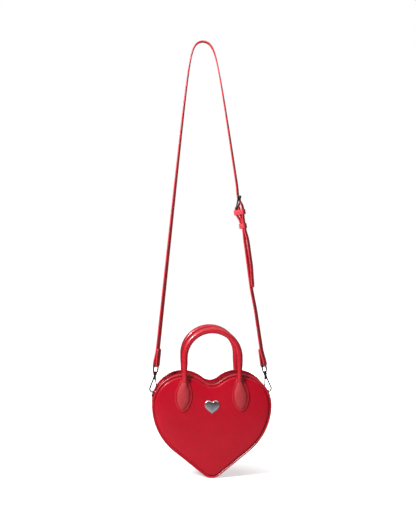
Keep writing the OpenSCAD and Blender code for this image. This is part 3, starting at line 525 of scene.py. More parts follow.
# a run of stitches over a surface: each one is a bead whose ends dip into the leather, given as rows of
# (place along the stitch, width, height); a thread is (pitch, length, thickness)
stitchShape = ((-0.5, 0.30, -0.42), (-0.36, 0.85, 0.06), (0.0, 1.0, 0.22), (0.36, 0.85, 0.06),
               (0.5, 0.30, -0.42))
stitchSides = 6


def stitches(path, normals, thread, closed=False):
    pitch, long, thick = thread
    path, normals = np.asarray(path, float), unit(normals)
    if closed:
        path, normals = np.vstack((path, path[:1])), np.vstack((normals, normals[:1]))
    steps = np.linalg.norm(np.diff(path, axis=0), axis=1)
    run = np.concatenate(([0.0], np.cumsum(steps)))
    count = max(int(run[-1] / pitch), 1)
    pitch = run[-1] / count
    turns = np.arange(stitchSides) * 2 * math.pi / stitchSides
    points, faces = [], []
    for k in range(count):
        middle = (k + 0.5) * pitch
        at = [np.array([np.interp(middle + t * long, run, path[:, c]) for c in range(3)])
              for t, _, _ in stitchShape]
        up = unit([np.interp(middle, run, normals[:, c]) for c in range(3)])
        side = np.cross(unit(at[-1] - at[0]), up)
        rings = []
        for place, (_, wide, high) in zip(at, stitchShape):
            centre = place + up * high * thick
            radius = thick * 0.5 * wide
            rings.append([centre + radius * (side * math.cos(a) + up * math.sin(a)) for a in turns])
        ringPoints, ringFaces = loft(rings)
        start = len(points)
        points.extend(ringPoints)
        faces.extend(tuple(start + i for i in face) for face in ringFaces)
    return points, faces


# the same normal for each place of a run that faces one way
def facing(normal, run):
    return np.tile(normal, (len(run), 1))


# outline of the heart, with exact arcs; heights are measured from the centres of the lobes
heart = {"shift": 14.0, "lobeZ": -628.405, "width": 205.0, "lobeR": 54.6, "flankR": 102.0,
         "flankStart": 2.0, "flankEnd": 51.3, "tipR": 22.0, "cleftShare": 0.587, "cleftR": 19.7,
         "zipEnd": 46.0}


def direction(angle):
    return np.array((math.cos(math.radians(angle)), math.sin(math.radians(angle))))


lobeX = heart["width"] / 2 - heart["lobeR"]
cleftSlope = heart["cleftShare"] * math.degrees(math.asin(lobeX / heart["lobeR"]))
lobeCentre = np.array((lobeX, 0.0))
flankCentre = lobeCentre - (heart["flankR"] - heart["lobeR"]) * direction(-heart["flankStart"])


def tipRound(inset):
    return max(heart["tipR"] - inset, 0.3)


def tipHeight(inset):
    foot = flankCentre + (heart["flankR"] - inset) * direction(-heart["flankEnd"])
    slope = math.radians(heart["flankEnd"])
    return foot[1] - foot[0] / math.tan(slope) + tipRound(inset) / math.sin(slope)


def cleftHeight(inset):
    foot = lobeCentre + (heart["lobeR"] - inset) * direction(90 + cleftSlope)
    slope = math.radians(cleftSlope)
    return foot[1] - foot[0] * math.tan(slope) + (heart["cleftR"] + inset) / math.cos(slope)


def arcRun(centre, radius, first, last, count, turned=1.0):
    angles = np.linspace(first, last, count)
    around = np.array([direction(a) for a in angles])
    return np.hstack((np.asarray(centre) + radius * around, turned * around))


def straightRun(start, end, normal, count):
    shares = np.linspace(0.0, 1.0, count + 2)[1:-1, None]
    return np.hstack((start + (end - start) * shares, np.repeat([normal], count, axis=0)))


# right half from the cleft to the end of the zip, and from there to the point: rows of x, z and the outward
# normal
def upperHalf(inset):
    dip = arcRun((0.0, cleftHeight(inset)), heart["cleftR"] + inset, -90, cleftSlope - 90, 12, -1.0)
    lobe = arcRun(lobeCentre, heart["lobeR"] - inset, 90 + cleftSlope, heart["zipEnd"], 36)
    slope = straightRun(dip[-1, :2], lobe[0, :2], direction(90 + cleftSlope), 4)
    return np.vstack((dip, slope, lobe))


def lowerHalf(inset):
    lobe = arcRun(lobeCentre, heart["lobeR"] - inset, heart["zipEnd"], -heart["flankStart"], 22)
    flank = arcRun(flankCentre, heart["flankR"] - inset, -heart["flankStart"], -heart["flankEnd"], 34)[1:]
    tip = arcRun((0.0, tipHeight(inset)), tipRound(inset), -heart["flankEnd"], -90, 12)
    slope = straightRun(flank[-1, :2], tip[0, :2], direction(-heart["flankEnd"]), 16)
    return np.vstack((lobe, flank, slope, tip))


def mirrored(rows):
    return rows[::-1] * np.array((-1.0, 1.0, -1.0, 1.0))


def wholeOutline(inset):
    half = np.vstack((upperHalf(inset), lowerHalf(inset)[1:]))
    return np.vstack((half, mirrored(half)[1:-1]))


def lowerOutline(inset):
    half = lowerHalf(inset)
    return np.vstack((half, mirrored(half)[1:]))


def upperOutline(inset):
    half = upperHalf(inset)
    return np.vstack((mirrored(half), half[1:]))


def onFlat(places, y):
    return np.column_stack((places[:, 0], np.full(len(places), float(y)), places[:, 1]))


def onBag(rows, y):
    return onFlat(rows[:, :2] + np.array((heart["shift"], heart["lobeZ"])), y)


def outward(rows):
    return np.column_stack((rows[:, 2], np.zeros(len(rows)), rows[:, 3]))


# padded panels: a sewn crease beside the piping, a tight rounded edge and a crown that then rises slowly;
# the crease's shape is rows of (inset, rise)
panel = {"seamY": 35.95, "crease": 36.75, "edgeFrom": 4.75, "edgeWide": 2.6, "edgeHigh": 3.3, "crown": 1.25,
         "run": 24.0, "middle": -12.0, "wave": 0.12, "waveSize": 46.0, "soften": 8, "stitchInset": 4.35,
         "fill": 0.85, "thread": (3.4, 2.6, 0.38)}
creaseShape = ((3.25, -0.3), (3.4, -0.1), (3.8, 0.0), (4.15, -0.12), (4.5, -0.12), (4.75, 0.0))


# rows of (inset from the outline, depth from the middle of the bag)
def panelProfile():
    seamY, edgeTop = panel["seamY"], panel["crease"] + panel["edgeHigh"]
    profile = [(5.6, seamY), (3.6, seamY), (3.25, seamY + 0.2)]
    profile += [(inset, panel["crease"] + rise) for inset, rise in creaseShape]
    for angle in (20.0, 38.0, 54.0, 68.0, 80.0):
        x, y = direction(180.0 - angle)
        inset = panel["edgeFrom"] + panel["edgeWide"] * (1 + x)
        profile.append((inset, panel["crease"] + panel["edgeHigh"] * y))
    edgeRings = len(profile)
    for t in np.linspace(0.08, 1.0, 15):
        s = t ** 1.6
        inset = panel["edgeFrom"] + panel["edgeWide"] + panel["run"] * s
        profile.append((inset, edgeTop + panel["crown"] * (1 - (1 - s) ** 2.4)))
    return profile, edgeRings


# the crown is softened so that no fold runs up from the point, then it gets a slow wave
def softenPanel(piece, side, first, last, top):
    edgeTop = panel["crease"] + panel["edgeHigh"]
    shape = bmesh.new()
    shape.from_mesh(piece.data)
    shape.verts.ensure_lookup_table()
    soft = [v for v in shape.verts if first <= v.index < last]
    for _ in range(panel["soften"]):
        bmesh.ops.smooth_vert(shape, verts=soft, factor=0.5, use_axis_x=False, use_axis_y=True,
                              use_axis_z=False)
    for v in soft:
        rise = min(max((abs(v.co.y) / mm - edgeTop) / panel["crown"], 0.0), 1.0)
        swell = noise.noise(Vector((v.co.x, side * 3.0 * mm, v.co.z)) / (panel["waveSize"] * mm))
        v.co.y = side * min(abs(v.co.y) + panel["wave"] * mm * swell * rise, top * mm)
    shape.to_mesh(piece.data)
    shape.free()


def makePanel(side):
    word = faceWord[side]
    profile, edgeRings = panelProfile()
    rings = [onBag(wholeOutline(inset), side * y) for inset, y in profile]
    top = profile[-1][1]
    centre = np.array((heart["shift"], side * top, heart["lobeZ"] + panel["middle"]))
    crown = rings[-1]
    for share in (0.88, 0.76, 0.63, 0.5, 0.37, 0.24, 0.12):
        rings.append(centre + (crown - centre) * share)
    points, faces = loft(rings, caps=False)
    size = len(crown)
    for start, y in (((len(rings) - 1) * size, top), (0, panel["seamY"])):
        points.append((centre[0], side * y, centre[2]))
        faces.extend((start + i, start + (i + 1) % size, len(points) - 1) for i in range(size))
    piece = makePiece(word + "PaddedPanel", [(points, faces, 0)], ["panelLeather"])
    softenPanel(piece, side, size * (edgeRings + 1), len(points) - 1, top)
    settle(piece, "bag", "red_leather", word + "_panel", word + "_pad")

    run = onBag(wholeOutline(panel["stitchInset"]), side * (panel["crease"] - 0.2))
    sewn = (*stitches(run, facing(side * upY, run), panel["thread"], True), 0)
    settle(makePiece(word + "PanelStitches", [sewn], ["stitchThread"]), "bag", "red_leather")


# piping: a cord wrapped in leather, a little uneven along its run
piping = {"radius": 1.7, "y": 36.5, "sides": 14, "wobble": 0.05}


def makePiping(side):
    rows = wholeOutline(piping["radius"])
    turns = np.arange(piping["sides"]) * 2 * math.pi / piping["sides"]
    rings = []
    for k, (centre, normal) in enumerate(zip(onBag(rows, side * piping["y"]), outward(rows))):
        radius = piping["radius"] - piping["wobble"] * (0.5 + 0.5 * math.sin(k * 0.9) * math.sin(k * 0.37))
        rings.append([centre + radius * (normal * math.cos(a) + side * upY * math.sin(a)) for a in turns])
    piece = makePiece(faceWord[side] + "Piping", [(*loft(rings, lengthClosed=True), 0)], ["pipingLeather"])
    settle(piece, "bag", "piping_leather", faceWord[side] + "_piping")


for side in (front, back):
    makePanel(side)
    makePiping(side)
print("panels and piping made")


# bands of leather that follow the outline: rings of a section given as (y, depth below the outer face)
wall = {"inset": 4.75, "thick": 1.05, "y": 35.8, "seamY": 33.0, "zipGap": 12.0, "zipSeamY": 8.3,
        "endShare": 0.15, "thread": (4.0, 3.1, 0.4)}


def band(rows, section):
    rings = []
    for row in rows:
        normal = np.array((row[2], 0.0, row[3]))
        foot = np.array((row[0] + heart["shift"], 0.0, row[1] + heart["lobeZ"]))
        rings.append([foot - normal * depth + upY * y for y, depth in section])
    return loft(rings)


# the side wall and the facings have the same rounded, sewn edge beside the piping
def sewnEdge():
    y, seamY = wall["y"], wall["seamY"]
    return [(y, wall["thick"]), (y, 0.4), (y - 0.12, 0.12), (y - 0.4, 0.0),
            (seamY + 0.7, 0.0), (seamY, 0.12), (seamY - 0.7, 0.0)]


def makeBand(name, node, rows, section, seams):
    parts = [(*band(rows, section), 0)]
    for y in seams:
        run = onBag(rows, y) - outward(rows) * 0.1
        parts.append((*stitches(run, outward(rows), wall["thread"]), 1))
    settle(makePiece(name, parts, ["wallLeather", "stitchThread"]), "bag", "red_leather", node)


def makeSideWall():
    half = sewnEdge() + [(22.0, 0.0), (11.0, 0.0)]
    section = half + [(-y, depth) for y, depth in reversed(half)]
    makeBand("sideWall", "side_wall", lowerOutline(wall["inset"]), section, (-wall["seamY"], wall["seamY"]))


def makeFacing(side):
    edge, seamY = wall["zipGap"] / 2, wall["zipSeamY"]
    section = sewnEdge() + [(21.0, 0.0), (seamY + 0.8, 0.0), (seamY, 0.16), (seamY - 0.8, 0.0),
                            (edge + 0.5, 0.02), (edge + 0.15, 0.2), (edge, 0.6), (edge + 0.15, 1.0),
                            (edge + 0.5, wall["thick"])]
    rows = upperOutline(wall["inset"])
    # both ends stop a hair short of the side wall
    for tip, beside in ((0, 1), (-1, -2)):
        rows[tip] += (rows[beside] - rows[tip]) * wall["endShare"]
    makeBand(faceWord[side] + "ZipFacing", faceWord[side] + "_zip_facing", rows,
             [(side * y, depth) for y, depth in section], (side * wall["zipSeamY"], side * wall["seamY"]))


# zip tapes: woven bands with a corded edge beside the teeth
tape = {"inset": 5.9, "thick": 0.6, "wide": 14.0, "edge": 0.6}


def makeTapes():
    rows = upperOutline(tape["inset"])
    section = ((tape["edge"], 0.0), (1.5, 0.0), (2.0, 0.08), (8.0, 0.0), (tape["wide"], 0.0),
               (tape["wide"], tape["thick"]), (8.0, tape["thick"]), (tape["edge"], tape["thick"]))
    parts = [(*band(rows, [(side * y, depth) for y, depth in section]), 0) for side in (front, back)]
    settle(makePiece("zipTapes", parts, ["tapeCloth"]), "bag", "tape_cloth", "zip_tapes")


makeSideWall()
for side in (front, back):
    makeFacing(side)
makeTapes()
print("side wall, facings and tapes made")


# lining: a cloth bag, open under the zip, that hangs a little slack inside the walls
lining = {"inset": 6.9, "y": 34.0, "thick": 0.5, "slack": 1.1, "slackSize": 31.0, "open": 4.0,
          "openAbove": 8.0, "endMargin": 1.5}


def makeLining():
    depths = [-34.0, -33.2, -28.0, -20.0, -12.0, -4.0, 4.0, 12.0, 20.0, 28.0, 33.2, 34.0]
    rings = [onBag(wholeOutline(lining["inset"] + (0.5 if abs(y) > 33.5 else 0.0)), y) for y in depths]
    size = len(rings[0])
    points, faces = loft(rings, caps=False)
    limit = lobeX + (heart["lobeR"] - lining["inset"]) * direction(heart["zipEnd"])[0] - lining["endMargin"]
    kept = []
    for face in faces:
        x, y, z = np.mean([points[i] for i in face], axis=0)
        overZip = abs(x - heart["shift"]) < limit and z - heart["lobeZ"] > lining["openAbove"]
        if not (abs(y) < lining["open"] and overZip):
            kept.append(face)
    middle = np.array((heart["shift"], 0.0, heart["lobeZ"] + panel["middle"]))
    for sign, start in ((-1, 0), (1, (len(depths) - 1) * size)):
        centre = middle + sign * lining["y"] * upY
        ring = np.array(points[start:start + size])
        for share in (0.86, 0.7, 0.54, 0.38, 0.2):
            base = len(points)
            points.extend(tuple(p) for p in centre + (ring - centre) * share)
            for i in range(size):
                j = (i + 1) % size
                kept.append((start + i, start + j, base + j, base + i))
            start = base
        points.append(tuple(centre))
        kept.extend((start + i, start + (i + 1) % size, len(points) - 1) for i in range(size))
    slackPoints = []
    for point in points:
        sag = lining["slack"] * (0.5 + 0.5 * noise.noise(Vector(point) / lining["slackSize"]))
        slackPoints.append(tuple(np.array(point) + unit(middle - np.array(point)) * sag))
    piece = makePiece("lining", [(slackPoints, kept, 0)], ["liningCloth"])
    thicken(piece, lining["thick"], -1.0)
    settle(piece, "bag", "lining_cloth", "lining")


# slip pocket on the back of the lining, with a sewn hem along its open top
pocket = {"wide": 96.0, "high": 62.0, "corner": 10.0, "thick": 0.5, "y": 32.2, "top": 24.0, "loose": 0.9,
          "hemDrop": 2.2, "thread": (3.2, 2.4, 0.4), "columns": 32, "rows": 22}


def makePocket():
    columns, rows = pocket["columns"], pocket["rows"]
    points = []
    for r in range(rows + 1):
        z = pocket["high"] * r / rows
        narrow = 0.0
        if z < pocket["corner"]:
            narrow = pocket["corner"] - math.sqrt(pocket["corner"] ** 2 - (pocket["corner"] - z) ** 2)
        for c in range(columns + 1):
            x = (c / columns * 2 - 1) * (pocket["wide"] / 2 - narrow)
            loose = pocket["loose"] * math.sin(math.pi * c / columns) * ease(r / rows)
            loose *= 0.7 + 0.3 * noise.noise(Vector((x, 0, z)) / 14.0)
            points.append((x + heart["shift"], pocket["y"] - loose,
                           heart["lobeZ"] + pocket["top"] - pocket["high"] + z))
    wide = columns + 1
    faces = [(r * wide + c, r * wide + c + 1, (r + 1) * wide + c + 1, (r + 1) * wide + c)
             for r in range(rows) for c in range(columns)]
    piece = makePiece("slipPocket", [(points, faces, 0)], ["liningCloth"])
    thicken(piece, pocket["thick"], 0.0)
    settle(piece, "bag", "lining_cloth", "slip_pocket")
    topRow = np.array(points[rows * wide:]) - np.array((0.0, pocket["thick"] * 0.5, pocket["hemDrop"]))
    sewn = (*stitches(topRow, facing(-upY, topRow), pocket["thread"]), 0)
    hem = makePiece("pocketHem", [sewn], ["stitchThread"])
    settle(hem, "bag", "lining_cloth")


makeLining()
makePocket()
print("lining and pocket made")


# handles: a rolled tube that narrows at the neck and sinks into its two tabs; radii and depths go by height
# above the neck
handle = {"half": 46.8, "archZ": 82.8, "neckZ": 45.6, "y": 46.8, "sides": 22, "lean": 4.0, "sunk": 18.0,
          "archHeight": 60.0, "bendBelow": 8.0, "bendAbove": 18.0, "seamDip": 0.05, "seamWide": 0.22,
          "seamAbove": 6.0, "fill": 0.95, "thread": (4.6, 3.4, 0.5)}
handleRadii = ((-20.0, 2.6), (-8.0, 3.5), (0.0, 3.85), (12.0, 4.3), (32.0, 5.1), (60.0, 5.2))
handleDepths = ((-20.0, 42.6), (-13.0, 43.6), (-4.0, 45.2), (4.0, 46.5), (12.0, 46.8))


# up the left side, over the top and down the right: rows of x, z, height above the neck, outward direction
def handlePath():
    rows = []
    lean = math.tan(math.radians(handle["lean"]))
    rise = handle["archZ"] - handle["neckZ"]
    heights = np.linspace(-handle["sunk"], rise, 24)
    for side in (left, right):
        if side == right:
            for angle in np.linspace(180.0, 0.0, 57)[1:-1]:
                place = direction(angle)
                rows.append((handle["half"] * place[0], handle["archZ"] + handle["half"] * place[1],
                             handle["archHeight"], place))
        for h in heights[::-side]:
            x = side * (handle["half"] + max(-h, 0.0) * lean)
            rows.append((x, handle["neckZ"] + h, h, np.array((side, 0.0))))
    return rows


def makeHandle(side):
    word = faceWord[side]
    rings, seam, seamNormals = [], [], []
    for x, z, h, place in handlePath():
        radius = along(handleRadii, h)
        centre = np.array((x + heart["shift"], side * along(handleDepths, h), z + heart["lobeZ"]))
        out = np.array((place[0], 0.0, place[1]))
        ring = []
        for k in range(handle["sides"]):
            a = 2 * math.pi * k / handle["sides"]
            dip = 1.0 - handle["seamDip"] * math.exp(-((a - math.pi) / handle["seamWide"]) ** 2)
            ring.append(centre + radius * dip * (out * math.cos(a) + side * upY * math.sin(a)))
        rings.append(ring)
        if h > handle["seamAbove"]:
            seam.append(centre - out * radius * 0.955)
            seamNormals.append(-out)
    parts = [(*loft(rings), 0), (*stitches(seam, seamNormals, handle["thread"]), 1)]
    piece = makePiece(word + "Handle", parts, ["handleLeather", "stitchThread"], 50.0)
    place = (heart["shift"] * mm, side * handle["y"] * mm)
    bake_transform(piece)
    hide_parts(word + "_handle", word + "_handle_core")


# handle tabs: a leaf of leather with a flat stitched rim round a padded drop, whose height goes by the
# distance below the neck
tab = {"half": 14.6, "long": 54.8, "thick": 1.8, "rim": 3.7, "y": 41.6, "widest": 0.52, "neck": 0.34,
       "shoulder": 0.8, "roundness": 1.2, "groove": 0.6, "grooveWide": 0.6, "edgeRound": 0.6, "rimRings": 9,
       "stitchShare": 0.135, "stitchBelow": 6.0, "thread": (3.4, 2.6, 0.6), "fill": 0.9}
dropHeights = ((0.0, 1.4), (2.0, 3.4), (5.0, 5.3), (9.0, 5.9), (16.0, 5.7), (24.0, 5.0), (34.0, 3.9),
               (42.0, 2.8), (51.0, 1.2))
tabRings = (0.0, 0.02, 0.05, 0.09, 0.13, 0.17, 0.21, 0.245, 0.28, 0.32, 0.38, 0.46, 0.56, 0.68, 0.82, 0.94)


def leafOutline():
    half, widest = [], tab["widest"]
    for share in np.linspace(0.0, widest, 28):
        swell = math.sin(math.pi / 2 * share / widest) ** tab["shoulder"]
        half.append((tab["half"] * (tab["neck"] + (1 - tab["neck"]) * swell), -tab["long"] * share))
    for angle in np.linspace(0.0, math.pi / 2, 30)[1:]:
        wide = max(math.cos(angle), 0.0) ** tab["roundness"]
        half.append((tab["half"] * wide, -tab["long"] * (widest + (1 - widest) * math.sin(angle))))
    half = np.array(half)
    half[-1, 0] = 0.0
    return np.vstack((half, half[::-1][1:] * np.array((-1.0, 1.0))))


def distanceTo(outline, point):
    a, b = outline, np.roll(outline, -1, axis=0)
    ab, ap = b - a, point - a
    t = np.clip((ap * ab).sum(1) / np.maximum((ab * ab).sum(1), 1e-9), 0, 1)
    return float(np.linalg.norm(ap - ab * t[:, None], axis=1).min())


leaf = leafOutline()
leafSpine = np.column_stack((np.zeros(len(leaf)), np.clip(leaf[:, 1], tab["half"] - tab["long"], -1.2)))


def leafRing(share):
    return leaf + (leafSpine - leaf) * share


# how far a place on the leaf stands above the bag: a rounded edge, a groove inside the rim, then the drop
def tabHeight(point):
    away = distanceTo(leaf, point)
    rounded = tab["thick"] - tab["edgeRound"] * (1 - min(away / tab["edgeRound"], 1.0)) ** 2
    inwards = away - tab["rim"]
    drop = 0.0
    if inwards > 0.0:
        deepest = distanceTo(leaf, np.array((0.0, min(point[1], -3.0)))) - tab["rim"]
        rise = math.sqrt(max(1 - (1 - min(inwards / max(deepest, 1.2), 1.0)) ** 2, 0.0))
        drop = along(dropHeights, -point[1]) * rise
    return rounded + drop - tab["groove"] * math.exp(-(inwards / tab["grooveWide"]) ** 2)


def makeTab(side, end):
    lean = math.radians(-end * handle["lean"])
    turnX, turnZ = np.array((math.cos(lean), -math.sin(lean))), np.array((math.sin(lean), math.cos(lean)))
    origin = np.array((end * handle["half"] + heart["shift"], 0.0, heart["lobeZ"] + handle["neckZ"]))

    def placed(ring, high):
        x = ring[:, 0] * turnX[0] + ring[:, 1] * turnZ[0]
        z = ring[:, 0] * turnX[1] + ring[:, 1] * turnZ[1]
        return np.column_stack((origin[0] + x, side * (tab["y"] + high), origin[2] + z))

    size = len(leaf)
    loops = [placed(leafRing(0.04), np.zeros(size)), placed(leaf, np.full(size, 0.5))]
    for share in tabRings:
        ring = leafRing(share)
        loops.append(placed(ring, np.array([tabHeight(point) for point in ring])))
    points, faces = loft(loops, caps=False)
    # both faces close along the spine
    for start, flip in ((0, True), ((len(loops) - 1) * size, False)):
        for i in range(size // 2):
            j = size - 1 - i
            corners = (i, (i + 1) % size, j - 1 if j - 1 > i else j, j)
            quad = tuple(dict.fromkeys(start + corner for corner in corners))
            if len(quad) > 2:
                faces.append(quad[::-1] if flip else quad)
    # the rim is smooth leather and the drop grained leather
    rimFaces = size * tab["rimRings"]
    picks = [0] * rimFaces + [2] * (len(faces) - rimFaces)
    seamRing = leafRing(tab["stitchShare"])
    below = seamRing[:, 1] < -tab["stitchBelow"]
    run = placed(seamRing, np.full(size, tab["thick"] - 0.05))[below]
    sewn = (*stitches(run, facing(side * upY, run), tab["thread"]), 1)
    piece = makePiece(faceWord[side] + endWord[end].capitalize() + "Tab", [(points, faces, picks), sewn],
                      ["handleLeather", "stitchThread", "tabLeather"], 60.0)
    settle(piece, "bag", "red_leather", faceWord[side] + "_" + endWord[end] + "_tab")


for side in (front, back):
    makeHandle(side)
    for end in (left, right):
        makeTab(side, end)
print("handles and tabs made")


# strap route: the same curve as the solids follow, as (place, face normal, width direction, tangent)
strap = {"wide": 12.0, "thick": 2.4, "crownHalf": {left: 22.0, right: 23.3}, "crownDepth": 15.7, "turn": 31.0,
         "turnPower": 1.4, "fold": 28.0, "gap": 0.3,
         "eyes": {left: (-80.923, -561.358), right: (106.438, -561.729)}, "eyeWire": 2.6, "edgeRound": 0.95,
         "line": 0.11, "boxFrom": 9.0, "boxTo": 24.0, "boxWide": 8.2, "thread": (3.0, 2.3, 0.55)}
buckle = {"drop": 289.5, "long": 21.5, "wire": 2.6, "prong": 1.6, "tail": 139.0, "holeStep": 25.0,
          "holeWide": 2.6, "holeLong": 7.4, "keeperHigh": 9.0, "keeperThick": 1.2, "keeperCorner": 1.0}


def uAt(depth):
    return math.sqrt(max(depth, 0.0) / strap["crownDepth"])


# depth of each hook's eye, and how far a strand moves outwards for each unit that it goes down
endDepth = {}
strandLean = {}
for side in (left, right):
    eyeX, eyeZ = strap["eyes"][side]
    depth = strap["thick"] / 2 - eyeZ
    reach = strap["crownHalf"][side] * math.sqrt(depth / (depth + strap["crownDepth"]))
    endDepth[side] = depth
    strandLean[side] = (side * eyeX - reach) / depth


def route(u):
    side = left if u < 0 else right
    half, deep, lean = strap["crownHalf"][side], strap["crownDepth"], strandLean[side]
    place = np.array((half * u / math.sqrt(1 + u * u) + side * lean * deep * u * u, 0.0,
                      strap["thick"] / 2 - deep * u * u))
    go = unit((half / (1 + u * u) ** 1.5 + 2 * lean * deep * abs(u), 0.0, -2 * deep * u))
    flat = np.array((-go[2], 0.0, go[0]))
    angle = math.radians(side * strap["turn"] * (abs(u) / uAt(endDepth[side])) ** strap["turnPower"])
    normal = flat * math.cos(angle) - upY * math.sin(angle)
    across = flat * math.sin(angle) + upY * math.cos(angle)
    return place, normal, across, go


# places on the route that the parts share: loops are radii, offs lie across the strap and drops lie along it
high, thick = buckle["keeperHigh"], strap["thick"]
ply = thick + strap["gap"]
eyeLoop = strap["eyeWire"] / 2 + strap["gap"] + thick / 2
heelLoop = buckle["wire"] / 2 + strap["gap"] + thick / 2
heelOff = -thick * 2.1
barOff = thick * 0.75
frontDrop = buckle["drop"] - math.sqrt(buckle["long"] ** 2 - (barOff - heelOff) ** 2)
keeperTop = buckle["drop"] + heelLoop + high / 2
keeperLow = keeperTop + high * 2.7
tailDrop = buckle["drop"] + buckle["tail"]
underOff = barOff - heelLoop
prongDrop = frontDrop + buckle["long"] * 0.36
# how far each layer lies off the route, by depth
longStops = ((frontDrop - buckle["long"], 0.0), (frontDrop, underOff), (buckle["drop"], thick * 1.8),
             (keeperTop, thick * 1.55), ((keeperTop + keeperLow) / 2, ply), (keeperLow + high / 2, ply),
             (keeperLow + high * 3, thick * 2.1), (keeperLow + high * 7, thick * 1.95),
             (tailDrop, thick * 0.75))
shortStops = ((buckle["drop"], heelOff + heelLoop), (keeperTop, heelOff + heelLoop),
              (keeperTop + (keeperLow - keeperTop) * 0.6, 0.0), (keeperLow + high / 2, 0.0),
              (keeperLow + high * 3, -thick * 0.35), (tailDrop, -thick * 0.7), (tailDrop + high * 5, 0.0))
foldStops = ((buckle["drop"], heelOff - heelLoop), (keeperTop, heelOff - heelLoop - thick * 0.25),
             (keeperLow - high / 2, -ply), (keeperLow, -ply))


# section of the strap: flat faces with a pressed line near each painted, rounded edge
def strapSection(width=strap["wide"]):
    half, t = width / 2, strap["thick"] / 2
    r = min(strap["edgeRound"], half * 0.6)
    top = [(half - r - 1.6, t), (half - r - 1.15, t - strap["line"]), (half - r - 0.7, t)]
    edge = [(half - r + r * math.sin(a), t - r + r * math.cos(a)) for a in (0.0, 0.5, 1.0)]
    quarter = top + edge + [(half, t - r)]
    section = quarter + [(x, -z) for x, z in reversed(quarter)]
    return section + [(-x, -z) for x, z in section]


def strapRing(place, normal, across, width=strap["wide"]):
    return [place + across * x + normal * z for x, z in strapSection(width)]


def offRoute(depth, side, off):
    place, normal, across, _ = route(side * uAt(depth))
    return strapRing(place + normal * off, normal, across)


def loopRings(side, depth, centreOff, radius, turn, count=14):
    place, normal, across, go = route(side * uAt(depth))
    go = go * side * turn
    centre = place + normal * centreOff
    rings = []
    for a in np.linspace(0.0, math.pi, count):
        spoke = normal * math.cos(a) + go * math.sin(a)
        rings.append(strapRing(centre + radius * spoke, spoke, across))
    return rings


def foldRings(side, count=12):
    place, normal, across, go = route(side * uAt(endDepth[side]))
    rings = []
    for k in range(1, count + 1):
        share = k / count
        off = -eyeLoop + (-ply + eyeLoop) * float(ease(min(share * 1.5, 1.0)))
        width = strap["wide"] * (1.0 - 0.16 * max(share - 0.9, 0.0) / 0.1)
        centre = place + normal * off - go * side * strap["fold"] * share
        rings.append(strapRing(centre, -normal, across, width))
    return rings


def eyeOff(side, depth):
    return along(((endDepth[side] - strap["fold"], 0.0), (endDepth[side], eyeLoop)), depth)


def cutOut(piece, parts):
    tool = makePiece("cutter", parts, ["edgePaint"])
    cut = piece.modifiers.new("holes", "BOOLEAN")
    cut.operation = "DIFFERENCE"
    cut.solver = "EXACT"
    cut.object = tool
    applyModifiers(piece)
    bpy.data.objects.remove(tool)


def holeParts(depth):
    place, normal, across, go = route(uAt(depth))
    centre = place + normal * along(longStops, depth)
    half = (buckle["holeLong"] - buckle["holeWide"]) / 2
    rings = []
    for deep in (-5.0, 5.0):
        ring = []
        for k in range(24):
            a = 2 * math.pi * (k + 0.5) / 24
            x, y = buckle["holeWide"] / 2 * math.cos(a), buckle["holeWide"] / 2 * math.sin(a)
            ring.append(centre + across * x + go * (y + math.copysign(half, y)) + normal * deep)
        rings.append(ring)
    return (*loft(rings), 0)


# faces near the edges of the strap, and its two ends, are painted
def edgePicks(ringCount):
    section = strapSection()
    picks = []
    for a, b in zip(section, section[1:] + section[:1]):
        picks.append(1 if min(abs(a[0]), abs(b[0])) > strap["wide"] / 2 - 0.7 else 0)
    return picks * (ringCount - 1) + [1, 1]


# a box of stitches through both layers of the fold at a hook's eye, seen on both faces
def sewBox(side):
    half, first, last = strap["boxWide"] / 2, strap["boxFrom"], strap["boxTo"]
    corners = [(-half, first), (half, first), (half, last), (-half, last), (-half, first)]
    parts = []
    for off, sign in ((thick / 2, 1), (-ply - thick / 2, -1)):
        rows, normals = [], []
        for (x0, d0), (x1, d1) in zip(corners, corners[1:]):
            for t in np.linspace(0.0, 1.0, 9)[:-1]:
                depth = endDepth[side] - (d0 + (d1 - d0) * t)
                place, normal, across, _ = route(side * uAt(depth))
                lift = off + (eyeOff(side, depth) if sign > 0 else 0.0)
                rows.append(place + normal * lift + across * (x0 + (x1 - x0) * t))
                normals.append(normal * sign)
        parts.append((*stitches(rows, normals, strap["thread"], True), 0))
    name = "strapLongStitches" if side == left else "strapShortStitches"
    settle(makePiece(name, parts, ["stitchThread"]), "strap", "strap_leather")


def eyeEnd(side):
    return foldRings(side)[::-1] + loopRings(side, endDepth[side], 0.0, eyeLoop, 1)[::-1]


